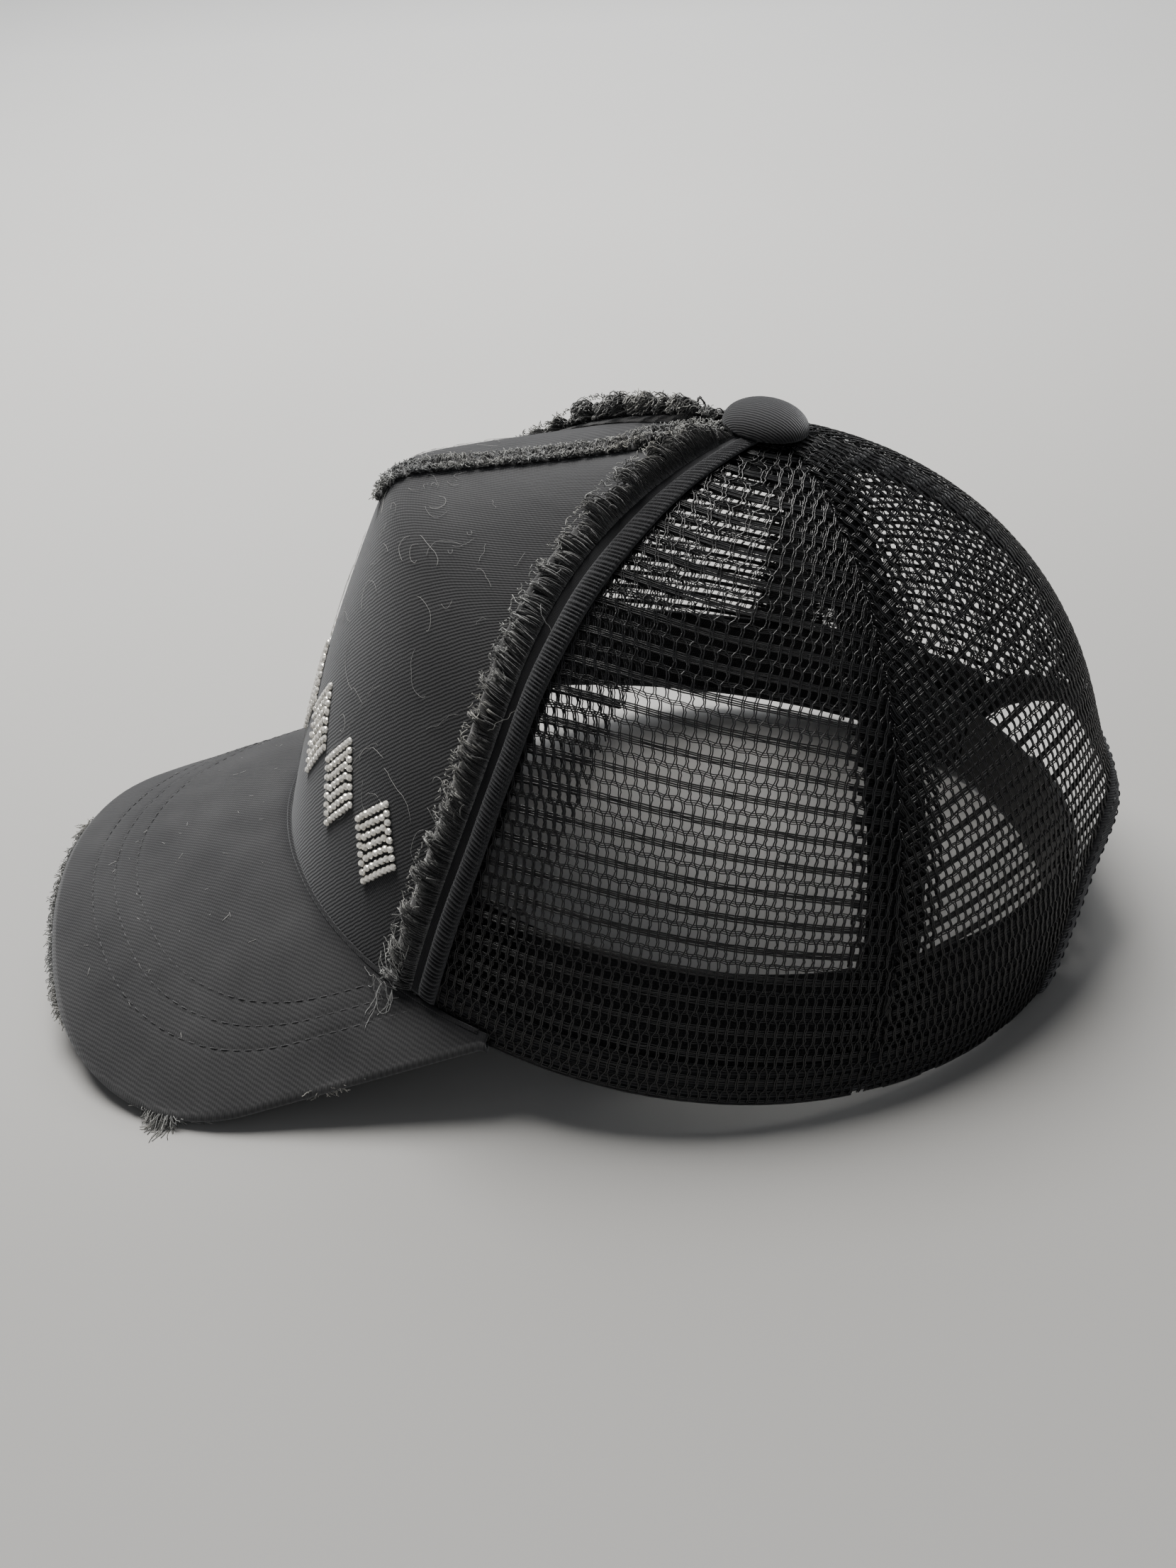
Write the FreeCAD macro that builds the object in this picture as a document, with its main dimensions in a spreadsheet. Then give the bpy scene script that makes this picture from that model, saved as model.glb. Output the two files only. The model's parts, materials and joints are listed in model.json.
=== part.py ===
import FreeCAD, Part
import Sketcher
import math
import os

# A five-panel trucker cap, in millimetres.
#
# Cap frame, in which everything below is drawn: the head oval is centred on the origin, the brim points
# to -Y, the wearer's left is +X and +Z runs up to the button. At the end each sub-part's Placement tips
# the cap back about X, so that it stands on the floor on its brim and on the rear of its hem.
#
# Crown surface: u is the direction seen from the button's axis (0 is the front, 90 degrees the wearer's
# left, 180 the back) and v runs from 0 at the hem to 1 at the button. Three profiles, for the front, the
# side and the back, are blended round the oval.

Vector = FreeCAD.Vector
doc = FreeCAD.newDocument("trucker_cap")

# ---------------------------------------------------------------- driving dimensions

DIMENSIONS = [
    # the head oval and the crown's height
    ("oval_half_length", 100.0), ("oval_half_width", 87.0), ("crown_height", 120.0),
    ("button_offset", 1.5), ("button_hole_radius", 3.0),
    # side profile: outward bulge and its height, then the radius where the top flattens
    ("side_bulge", 3.1), ("side_bulge_height", 31.0), ("side_top_radius", 41.5),
    # back profile: the same three sizes
    ("back_bulge", 5.7), ("back_bulge_height", 76.0), ("back_top_radius", 50.8),
    # front profile: wall, break corner and the flatter top behind it
    ("front_wall_lean", 3.5), ("front_wall_height", 33.7),
    ("front_break_radius", 82.3), ("front_break_height", 94.8),
    ("front_shelf_radius", 80.1), ("front_shelf_height", 102.8),
    ("front_top_radius", 43.8), ("front_top_height", 107.6),
    # the hem rises at the front and at the back
    ("hem_front_rise", 10.0), ("hem_back_rise", 9.5),
    # seams: direction at the hem and how it drifts towards the button
    ("front_seam_angle", 46.8), ("front_seam_drift", -1.8), ("front_seam_curl", 20.8),
    ("side_seam_angle", 107.8), ("side_seam_drift", 11.0),
    # cloth layers, as thicknesses, with the gap that parts them
    ("twill_thickness", 0.8), ("buckram_thickness", 0.8), ("netting_thickness", 1.0),
    ("tape_thickness", 0.6), ("sweatband_thickness", 1.6), ("layer_gap", 0.1),
    ("tape_width", 14.0), ("sweatband_height", 32.0),
    # fringes and piping on the seams
    ("fringe_width", 9.0), ("fringe_height", 3.4), ("piping_width", 5.0), ("piping_height", 2.4),
    ("piping_set_back", 2.2), ("trim_foot_height", 3.4), ("centre_fringe_drop", 1.5),
    # the arch of the back opening
    ("arch_half_width", 47.0), ("arch_height", 41.0), ("arch_base", 6.0),
    ("binding_width", 6.5), ("binding_outside", 0.5), ("binding_inside", 2.0),
    ("arch_flare", 4.0), ("arch_flare_reach", 9.0), ("arch_flare_middle", 24.0),
    ("arch_flare_spread", 13.0),
    # brim
    ("brim_half_width", 75.0), ("brim_length", 57.5), ("brim_front_radius", 130.0),
    ("brim_corner_radius", 50.0), ("brim_rear", -44.0), ("brim_bend_radius", 112.0),
    ("brim_slope", 0.46), ("brim_board_thickness", 1.6), ("brim_cover_thickness", 0.8),
    ("brim_board_inset", 3.0), ("brim_seam_gap", 0.3),
    # button
    ("button_radius", 9.6), ("button_dome", 5.4), ("button_cloth", 0.7), ("button_metal", 0.6),
    ("button_lift", 0.2), ("prong_radius", 1.6), ("button_back_radius", 6.0),
    ("button_back_height", 1.2), ("button_back_depth", 2.9),
    # stones on the front panel
    ("stone_diameter", 1.8), ("stone_height", 0.9), ("stone_pitch", 2.05),
    ("diamond_half_width", 6.6), ("diamond_half_height", 12.0), ("diamond_spacing", 17.0),
    ("diamond_count", 7.0), ("diamond_rings", 3.0), ("diamond_centre_height", 37.0),
    # snap strap
    ("strap_centre", 24.3), ("strap_outer_radius", 71.6), ("strap_thickness", 1.2), ("strap_gap", 0.4),
    ("strap_height", 20.0), ("strap_bottom", 7.0), ("strap_hinge_angle", 34.0), ("strap_past_middle", 19.0),
    ("strap_corner_radius", 7.0), ("snap_pitch_angle", 7.2), ("snap_hole_radius", 2.7),
    ("snap_stud_radius", 1.9), ("snap_stud_height", 1.6), ("snap_count", 7.0),
    ("tab_sweep", 13.0), ("tab_clearance_angle", 1.4),
    # standing pose
    ("rest_pitch", 9.15),
]

sheet = doc.addObject("Spreadsheet::Sheet", "sizes")
for row, (alias, value) in enumerate(DIMENSIONS, start=1):
    sheet.set("A%d" % row, alias)
    sheet.set("B%d" % row, str(value))
    sheet.setAlias("B%d" % row, alias)
doc.recompute()


def size(alias):
    """A driving dimension's value."""
    return float(sheet.get(alias))


def bind(target, **expressions):
    """Bind properties of a document object to expressions on the sheet."""
    for name, expression in expressions.items():
        target.setExpression(name, expression)


# ---------------------------------------------------------------- crown surface

BUTTON_Y = size("button_offset")
HALF_LENGTH = size("oval_half_length")
HALF_WIDTH = size("oval_half_width")
CROWN_HEIGHT = size("crown_height")


def profile_curve(poles, degree):
    """A clamped spline through the (radius, height) control points of one profile."""
    spans = len(poles) - degree
    knots = [i / spans for i in range(spans + 1)]
    mults = [degree + 1] + [1] * (spans - 1) + [degree + 1]
    curve = Part.BSplineCurve()
    curve.buildFromPolesMultsKnots([Vector(r, 0, z) for r, z in poles], mults, knots, False, degree)
    return curve


FRONT_BASE = HALF_LENGTH + BUTTON_Y
BACK_BASE = HALF_LENGTH - BUTTON_Y
FRONT_PROFILE = profile_curve([
    (FRONT_BASE, 0.0),
    (FRONT_BASE - size("front_wall_lean"), size("front_wall_height")),
    (size("front_break_radius"), size("front_break_height")),
    (size("front_shelf_radius"), size("front_shelf_height")),
    (size("front_top_radius"), size("front_top_height")),
    (0.0, CROWN_HEIGHT)], 3)
SIDE_PROFILE = profile_curve([
    (HALF_WIDTH, 0.0),
    (HALF_WIDTH + size("side_bulge"), size("side_bulge_height")),
    (size("side_top_radius"), CROWN_HEIGHT),
    (0.0, CROWN_HEIGHT)], 3)
BACK_PROFILE = profile_curve([
    (BACK_BASE, 0.0),
    (BACK_BASE + size("back_bulge"), size("back_bulge_height")),
    (size("back_top_radius"), CROWN_HEIGHT),
    (0.0, CROWN_HEIGHT)], 3)


def smooth_step(value):
    """Ease from 0 to 1."""
    value = min(1.0, max(0.0, value))
    return value * value * (3.0 - 2.0 * value)


def arch_flare(x, z):
    """How far the netting stands out behind the crown, on either side of the arch's top."""
    rise = (z - size("arch_base")) / size("arch_height")
    out = math.hypot(x / size("arch_half_width"), rise)
    past_edge = max(0.0, out - 1.0) * size("arch_height") / size("arch_flare_reach")
    beside = (abs(x) - size("arch_flare_middle")) / size("arch_flare_spread")
    return size("arch_flare") * math.exp(-past_edge ** 2 - beside ** 2) * smooth_step(rise)


def outer_point(u, v):
    """A point of the crown's outer surface, with u in degrees."""
    sine = math.sin(math.radians(u))
    cosine = math.cos(math.radians(u))
    side = SIDE_PROFILE.value(v)
    front = cosine > 0
    along = (FRONT_PROFILE if front else BACK_PROFILE).value(v)
    hem_rise = size("hem_front_rise") if front else size("hem_back_rise")
    x = side.x * sine
    y = BUTTON_Y - along.x * cosine
    z = side.z * sine ** 2 + along.z * cosine ** 2 + hem_rise * cosine ** 2 * (1 - v) ** 2
    if not front:
        y -= arch_flare(x, z) * cosine
    return Vector(x, y, z)


def crown_frame(u, v):
    """The outer point, the unit vector outward and the length of one degree of u."""
    step = 1e-3
    round_way = (outer_point(u + step, v) - outer_point(u - step, v)) * (0.5 / step)
    up_way = outer_point(u, min(1.0, v + step)) - outer_point(u, v - step if v > step else v)
    degree_length = round_way.Length
    normal = round_way.cross(up_way).normalize()
    return outer_point(u, v), normal, degree_length


def crown_point(u, v, depth):
    """A point under the outer surface by depth, or above it where depth is negative."""
    point, normal, _ = crown_frame(u, v)
    return point - normal * depth


def beside(u, v, distance):
    """The direction u that lies a distance further round the crown."""
    return u + distance / crown_frame(u, v)[2]


def height_parameter(u, height):
    """The v at which the outer surface, at direction u, is a height above its hem."""
    low, high = 0.0, 1.0
    hem = outer_point(u, 0.0).z
    for _ in range(40):
        middle = 0.5 * (low + high)
        if outer_point(u, middle).z - hem < height:
            low = middle
        else:
            high = middle
    return low


def front_seam(v):
    """Direction of the seam between the front panel and the side netting."""
    return size("front_seam_angle") + size("front_seam_drift") * v + size("front_seam_curl") * v * v


def side_seam(v):
    """Direction of the seam between the side and the back netting."""
    return size("side_seam_angle") + size("side_seam_drift") * v


def top_parameter(u, radius):
    """The v at which the crown, at direction u, has closed in to a radius round the button's axis."""
    low, high = 0.5, 1.0
    for _ in range(40):
        middle = 0.5 * (low + high)
        point = outer_point(u, middle)
        if math.hypot(point.x, point.y - BUTTON_Y) > radius:
            low = middle
        else:
            high = middle
    return low


# ---------------------------------------------------------------- solids from point grids

def grid_face(rows):
    surface = Part.BSplineSurface()
    surface.interpolate(rows)
    return surface


def grid_solid(outer_rows, inner_rows):
    """A closed solid between two surfaces that are each given as rows of points."""
    outer = grid_face(outer_rows)
    inner = grid_face(inner_rows)
    u0, u1, v0, v1 = outer.bounds()
    faces = [outer.toShape(), inner.toShape()]
    for outer_edge, inner_edge in (
            (outer.uIso(u0), inner.uIso(inner.bounds()[0])),
            (outer.uIso(u1), inner.uIso(inner.bounds()[1])),
            (outer.vIso(v0), inner.vIso(inner.bounds()[2])),
            (outer.vIso(v1), inner.vIso(inner.bounds()[3]))):
        faces.append(Part.makeRuledSurface(outer_edge.toShape(), inner_edge.toShape()))
    shell = Part.makeShell(faces)
    shell.sewShape()
    solid = Part.makeSolid(shell)
    if solid.Volume < 0:
        solid.reverse()
    return solid


def shares(count):
    """Evenly spaced values from 0 to 1."""
    return [i / (count - 1) for i in range(count)]


def panel_solid(from_u, to_u, from_v, to_v, outer_depth, inner_depth, columns, rows):
    """A layer of the crown between two seams and two heights.

    from_u and to_u give a direction for each v, and from_v and to_v a v for each direction.
    """
    def layer(depth):
        grid = []
        for across in shares(columns):
            column = []
            for up in shares(rows):
                u = from_u(up) * (1 - across) + to_u(up) * across
                v = from_v(u) * (1 - up) + to_v(u) * up
                u = from_u(v) * (1 - across) + to_u(v) * across
                column.append(crown_point(u, v, depth))
            grid.append(column)
        return grid
    return grid_solid(layer(outer_depth), layer(inner_depth))


def band_solid(path, low_v, high_v, near_side, far_side, outer_depth, inner_depth, rows):
    """A band that follows a seam, between two distances to its side, which are functions of v."""
    def layer(depth):
        grid = []
        for across in shares(4):
            line = []
            for up in shares(rows):
                v = low_v * (1 - up) + high_v * up
                distance = near_side(v) * (1 - across) + far_side(v) * across
                line.append(crown_point(beside(path(v), v, distance), v, depth))
            grid.append(line)
        return grid
    return grid_solid(layer(outer_depth), layer(inner_depth))


def feature(label, shape):
    """A sub-part whose shape is made above from the sheet's sizes."""
    part = doc.addObject("Part::Feature", label)
    part.Label = label
    part.Shape = shape
    sub_parts.append(part)
    return part


def mirrored(shape):
    """The same shape on the wearer's right."""
    return shape.mirror(Vector(0, 0, 0), Vector(1, 0, 0))


def both_sides(label, shape):
    feature(label + "_left", shape)
    feature(label + "_right", mirrored(shape))


sub_parts = []

# ---------------------------------------------------------------- cloth layers and their depths

GAP = size("layer_gap")
TWILL_BACK = size("twill_thickness")
BUCKRAM_FRONT = TWILL_BACK + GAP
BUCKRAM_BACK = BUCKRAM_FRONT + size("buckram_thickness")
NETTING_BACK = size("netting_thickness")
TAPE_FRONT = BUCKRAM_BACK + GAP
TAPE_BACK = TAPE_FRONT + size("tape_thickness")
SWEATBAND_FRONT = TAPE_BACK + GAP
SWEATBAND_BACK = SWEATBAND_FRONT + size("sweatband_thickness")
TOP_V = top_parameter(90.0, size("button_hole_radius"))
# tapes stop where they would crowd each other round the button
TAPE_TOP_V = top_parameter(90.0, size("button_back_radius") + size("tape_width") * 0.5)


def hem_v(u):
    return 0.0


def top_v(u):
    return TOP_V


def minus_front_seam(v):
    return -front_seam(v)


def middle_back(v):
    return 180.0


# ---------------------------------------------------------------- front panel and its buckram

feature("front_panel", panel_solid(minus_front_seam, front_seam, hem_v, top_v, 0.0, TWILL_BACK, 25, 25))


def buckram_edge(v):
    return beside(front_seam(v), v, -2.0)


def minus_buckram_edge(v):
    return -buckram_edge(v)


BUCKRAM_TOP_V = top_parameter(0.0, size("button_back_radius") + 4.0)
feature("front_buckram", panel_solid(
    minus_buckram_edge, buckram_edge, lambda u: 0.01, lambda u: BUCKRAM_TOP_V,
    BUCKRAM_FRONT, BUCKRAM_BACK, 25, 21))

# ---------------------------------------------------------------- netting panels and the arch


def arch_tool(grow):
    """A prism along Y through the back opening, larger than the opening by grow."""
    half_width = size("arch_half_width") + grow
    height = size("arch_height") + grow
    base = size("arch_base")
    steps = 24
    depth = HALF_LENGTH * 1.6
    points = []
    for i in range(steps + 1):
        angle = math.pi * i / steps
        points.append(Vector(half_width * math.cos(angle), 0, base + height * math.sin(angle)))
    curve = Part.BSplineCurve()
    curve.interpolate(points)
    floor = base - 40.0
    foot_left = Vector(half_width, 0, floor)
    foot_right = Vector(-half_width, 0, floor)
    wire = Part.Wire([
        curve.toShape(), Part.makeLine(points[-1], foot_right),
        Part.makeLine(foot_right, foot_left), Part.makeLine(foot_left, points[0])])
    return Part.Face(wire).extrude(Vector(0, depth, 0))


NETTING_CUT = arch_tool(size("binding_width") + GAP)

both_sides("mesh_side", panel_solid(front_seam, side_seam, hem_v, top_v, 0.0, NETTING_BACK, 17, 21))
both_sides("mesh_back", panel_solid(
    side_seam, middle_back, hem_v, top_v, 0.0, NETTING_BACK, 21, 25).cut(NETTING_CUT))

# ---------------------------------------------------------------- seam tapes inside


def tape_solid(seam, low_v, half_width):
    def near_side(v):
        return -half_width

    def far_side(v):
        return half_width
    return band_solid(seam, low_v, TAPE_TOP_V, near_side, far_side, TAPE_FRONT, TAPE_BACK, 19)


HALF_TAPE = size("tape_width") * 0.5
SWEATBAND_V = height_parameter(90.0, size("sweatband_height"))
both_sides("seam_tape_front", tape_solid(front_seam, 0.01, HALF_TAPE))
both_sides("seam_tape_side", tape_solid(side_seam, 0.01, HALF_TAPE))
ARCH_TOP_V = height_parameter(
    180.0, size("arch_base") + size("arch_height") + size("binding_width") - size("hem_back_rise") + 1.5)
feature("seam_tape_back", tape_solid(middle_back, ARCH_TOP_V, HALF_TAPE))

# ---------------------------------------------------------------- sweatband


def sweatband_end(v):
    return 150.0


def minus_sweatband_end(v):
    return -150.0


feature("sweatband", panel_solid(
    minus_sweatband_end, sweatband_end, lambda u: 0.004,
    lambda u: height_parameter(u, size("sweatband_height")),
    SWEATBAND_FRONT, SWEATBAND_BACK, 61, 5).cut(NETTING_CUT))

# ---------------------------------------------------------------- arch binding


def surface_parameters(x, z):
    """The u and v at which the back of the crown has the given x and height, by Newton's method."""
    u, v = 180.0 - math.degrees(math.asin(x / (HALF_WIDTH * 1.02))), 0.25
    step = 1e-4
    for _ in range(25):
        here = outer_point(u, v)
        by_u = (outer_point(u + step, v) - here) * (1 / step)
        by_v = (outer_point(u, v + step) - here) * (1 / step)
        miss_x, miss_z = x - here.x, z - here.z
        determinant = by_u.x * by_v.z - by_v.x * by_u.z
        u += (miss_x * by_v.z - miss_z * by_v.x) / determinant
        v += (miss_z * by_u.x - miss_x * by_u.z) / determinant
        v = min(0.99, max(1e-3, v))
    return u, v


def binding_rows(depth):
    rows = []
    for across in shares(4):
        grow = size("binding_width") * across
        line = []
        for share in shares(33):
            angle = math.pi * (0.004 + 0.992 * share)
            x = (size("arch_half_width") + grow) * math.cos(angle)
            z = size("arch_base") + (size("arch_height") + grow) * math.sin(angle)
            line.append(crown_point(*surface_parameters(x, z), depth))
        rows.append(line)
    return rows


feature("arch_binding", grid_solid(
    binding_rows(-size("binding_outside")), binding_rows(size("binding_inside"))))

# ---------------------------------------------------------------- fringes and piping


def crown_radius(u, v):
    point = outer_point(u, v)
    return math.hypot(point.x, point.y - BUTTON_Y)


# the trims start just above the brim
TRIM_FOOT_V = height_parameter(size("front_seam_angle"), size("trim_foot_height"))
FRINGE_TOP_V = top_parameter(60.0, size("button_radius") + 1.2)


def fringe_width(u, v):
    """Fringes narrow where they crowd round the button."""
    return min(size("fringe_width"), 0.42 * crown_radius(u, v))


def fringe_near(v):
    return -fringe_width(front_seam(v), v)


def fringe_far(v):
    return -GAP


both_sides("fray_trim", band_solid(
    front_seam, TRIM_FOOT_V, FRINGE_TOP_V, fringe_near, fringe_far, -size("fringe_height"), -GAP, 25))


def middle_front(v):
    return 0.0


def half_fringe(v):
    return 0.5 * fringe_width(0.0, v)


def minus_half_fringe(v):
    return -half_fringe(v)


BREAK_V = height_parameter(
    0.0, size("front_break_height") - size("hem_front_rise") - size("centre_fringe_drop"))
CENTRE_TOP_V = top_parameter(0.0, size("button_radius") + 1.2)
feature("fray_trim_centre", band_solid(
    middle_front, BREAK_V, CENTRE_TOP_V, minus_half_fringe, half_fringe,
    -size("fringe_height"), -GAP, 15))


def piping_near(v):
    return size("piping_set_back")


def piping_far(v):
    return size("piping_set_back") + size("piping_width")


PIPING_TOP_V = top_parameter(60.0, size("button_radius") + 6.0)
both_sides("piping", band_solid(
    front_seam, TRIM_FOOT_V, PIPING_TOP_V, piping_near, piping_far, -size("piping_height"), -GAP, 25))

# ---------------------------------------------------------------- brim

BRIM_JOIN_Y = BUTTON_Y - FRONT_BASE
BRIM_LAYERS = [
    # label, underside above the board's middle, thickness, inset of the outline
    ("brim_board", "-sizes.brim_board_thickness / 2", "sizes.brim_board_thickness",
     "sizes.brim_board_inset"),
    ("brim_cover_top", "sizes.brim_board_thickness / 2 + sizes.layer_gap",
     "sizes.brim_cover_thickness", "0"),
    ("brim_cover_under",
     "-sizes.brim_board_thickness / 2 - sizes.layer_gap - sizes.brim_cover_thickness",
     "sizes.brim_cover_thickness", "0"),
]


def origin_plane(body, role):
    return next(f for f in body.Origin.OriginFeatures if f.Role == role)


def new_sketch(body, name, role):
    sketch = body.newObject("Sketcher::SketchObject", name)
    sketch.AttachmentSupport = (origin_plane(body, role), [""])
    sketch.MapMode = "FlatFace"
    return sketch


def constrain(sketch, kind, *arguments, expression=None):
    index = sketch.addConstraint(Sketcher.Constraint(kind, *arguments))
    if expression:
        sketch.setExpression("Constraints[%d]" % index, expression)
    return index


def bent_section(body, underside, thickness):
    """The layer's section across the brim: a strip of two arcs about one centre on the middle plane."""
    sketch = new_sketch(body, body.Name + "_section", "XZ_Plane")
    middle_radius = size("brim_bend_radius")
    centre = Vector(0, size("hem_front_rise") - middle_radius, 0)
    half_angle = math.asin((size("brim_half_width") + 6.0) / middle_radius)
    start, end = math.pi / 2 - half_angle, math.pi / 2 + half_angle
    inner = middle_radius + doc_value(underside)
    outer = inner + doc_value(thickness)
    arc = []
    for radius in (inner, outer):
        circle = Part.Circle(centre, Vector(0, 0, 1), radius)
        arc.append(sketch.addGeometry(Part.ArcOfCircle(circle, start, end), False))
    ends = []
    for angle in (start, end):
        way = Vector(math.cos(angle), math.sin(angle), 0)
        ends.append(sketch.addGeometry(
            Part.LineSegment(centre + way * inner, centre + way * outer), False))
    for line, arc_end in ((ends[0], 1), (ends[1], 2)):
        constrain(sketch, "Coincident", line, 1, arc[0], arc_end)
        constrain(sketch, "Coincident", line, 2, arc[1], arc_end)
    constrain(sketch, "Coincident", arc[0], 3, arc[1], 3)
    constrain(sketch, "PointOnObject", arc[0], 3, -2)
    constrain(sketch, "DistanceY", arc[0], 3, -1, 1, -centre.y,
              expression="sizes.brim_bend_radius - sizes.hem_front_rise")
    constrain(sketch, "Radius", arc[0], inner, expression="sizes.brim_bend_radius + (%s)" % underside)
    constrain(sketch, "Radius", arc[1], outer,
              expression="sizes.brim_bend_radius + (%s) + %s" % (underside, thickness))
    for index, end_number in ((arc[0], 1), (arc[0], 2)):
        point = sketch.getPoint(index, end_number)
        constrain(sketch, "DistanceX", -1, 1, index, end_number, point.x)
    return sketch


def doc_value(expression):
    """The number that an expression on the sheet stands for."""
    return float(sheet.evalExpression(expression))


def outline_sketch(body, inset_expression):
    """The brim's plan outline: a front arc, two corner arcs, two straight sides and a rear line."""
    inset = doc_value(inset_expression)
    half = size("brim_half_width") - inset
    front = BRIM_JOIN_Y - size("brim_length") + inset
    front_radius = size("brim_front_radius") - inset
    corner_radius = size("brim_corner_radius") - inset
    rear = size("brim_rear")
    front_centre = Vector(0, front + front_radius, 0)
    reach = front_radius - corner_radius
    corner_x = half - corner_radius
    corner_centre = Vector(corner_x, front_centre.y - math.sqrt(reach ** 2 - corner_x ** 2), 0)
    meet_angle = math.atan2(corner_centre.y - front_centre.y, corner_centre.x)
    sketch = new_sketch(body, body.Name + "_outline", "XY_Plane")
    up = Vector(0, 0, 1)
    add = sketch.addGeometry
    front_arc = add(Part.ArcOfCircle(
        Part.Circle(front_centre, up, front_radius), -math.pi - meet_angle, meet_angle), False)
    left_arc = add(Part.ArcOfCircle(
        Part.Circle(corner_centre, up, corner_radius), meet_angle, 0), False)
    right_centre = Vector(-corner_centre.x, corner_centre.y, 0)
    right_arc = add(Part.ArcOfCircle(
        Part.Circle(right_centre, up, corner_radius), math.pi, math.pi - meet_angle), False)
    left_side = add(Part.LineSegment(
        Vector(half, corner_centre.y, 0), Vector(half, rear, 0)), False)
    rear_line = add(Part.LineSegment(Vector(half, rear, 0), Vector(-half, rear, 0)), False)
    right_side = add(Part.LineSegment(
        Vector(-half, rear, 0), Vector(-half, corner_centre.y, 0)), False)
    constrain(sketch, "Tangent", front_arc, 2, left_arc, 1)
    constrain(sketch, "Tangent", left_arc, 2, left_side, 1)
    constrain(sketch, "Coincident", left_side, 2, rear_line, 1)
    constrain(sketch, "Coincident", rear_line, 2, right_side, 1)
    constrain(sketch, "Tangent", right_side, 2, right_arc, 1)
    constrain(sketch, "Tangent", right_arc, 2, front_arc, 1)
    constrain(sketch, "Vertical", left_side)
    constrain(sketch, "Symmetric", rear_line, 1, rear_line, 2, -2)
    constrain(sketch, "PointOnObject", front_arc, 3, -2)
    constrain(sketch, "Equal", left_arc, right_arc)
    constrain(sketch, "Radius", front_arc, front_radius,
              expression="sizes.brim_front_radius - (%s)" % inset_expression)
    constrain(sketch, "Radius", left_arc, corner_radius,
              expression="sizes.brim_corner_radius - (%s)" % inset_expression)
    constrain(sketch, "DistanceX", -1, 1, left_side, 2, half,
              expression="sizes.brim_half_width - (%s)" % inset_expression)
    constrain(sketch, "DistanceY", rear_line, 1, -1, 1, -rear, expression="-sizes.brim_rear")
    constrain(sketch, "DistanceY", front_arc, 3, -1, 1, -front_centre.y,
              expression="sizes.oval_half_length + sizes.brim_length - sizes.brim_front_radius")
    return sketch


def length_pad(body, name, sketch, length):
    """A pad of a plain length, bound to the sheet."""
    pad = body.newObject("PartDesign::Pad", name)
    pad.Profile = sketch
    bind(pad, Length=length)
    return pad


# the head oval's front half, widened by the seam gap, as a prism that trims the brim's rear
oval_curve = doc.addObject("Part::Ellipse", "head_oval")
bind(oval_curve,
     MajorRadius="sizes.oval_half_length + sizes.button_offset + sizes.brim_seam_gap",
     MinorRadius="sizes.oval_half_width + sizes.brim_seam_gap")
oval_curve.Placement = FreeCAD.Placement(
    Vector(0, BUTTON_Y, -CROWN_HEIGHT / 2), FreeCAD.Rotation(Vector(0, 0, 1), 90))
oval_prism = doc.addObject("Part::Extrusion", "head_oval_prism")
oval_prism.Base = oval_curve
oval_prism.DirMode = "Custom"
oval_prism.Dir = Vector(0, 0, 1)
oval_prism.Solid = True
bind(oval_prism, LengthFwd="sizes.crown_height")


def brim_layer(label, underside, thickness, inset_expression):
    """A bent slab, kept inside the plan outline and cut back to the head oval."""
    plan = doc.addObject("PartDesign::Body", label + "_plan")
    block = length_pad(plan, label + "_block", outline_sketch(plan, inset_expression), "sizes.crown_height")
    block.SideType = "Symmetric"
    slab = doc.addObject("PartDesign::Body", label + "_slab")
    bent = length_pad(slab, label + "_bent", bent_section(slab, underside, thickness),
                      "2.5 * sizes.oval_half_length")
    bent.UseCustomVector = True
    bent.AlongSketchNormal = False
    bent.Direction = Vector(0, -1, -size("brim_slope"))
    slab.Placement = FreeCAD.Placement(
        Vector(0, 0, -size("brim_slope") * BRIM_JOIN_Y), FreeCAD.Rotation())
    trimmed = doc.addObject("Part::MultiCommon", label + "_trimmed")
    trimmed.Shapes = [plan, slab]
    layer = doc.addObject("Part::Cut", label)
    layer.Label = label
    layer.Base = trimmed
    layer.Tool = oval_prism
    sub_parts.append(layer)


for brim_layer_sizes in BRIM_LAYERS:
    brim_layer(*brim_layer_sizes)

# ---------------------------------------------------------------- button

DOME_RADIUS = "(sizes.button_radius ^ 2 + sizes.button_dome ^ 2) / (2 * sizes.button_dome)"
button_axis = Vector(0, BUTTON_Y, CROWN_HEIGHT + size("button_lift"))


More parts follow.
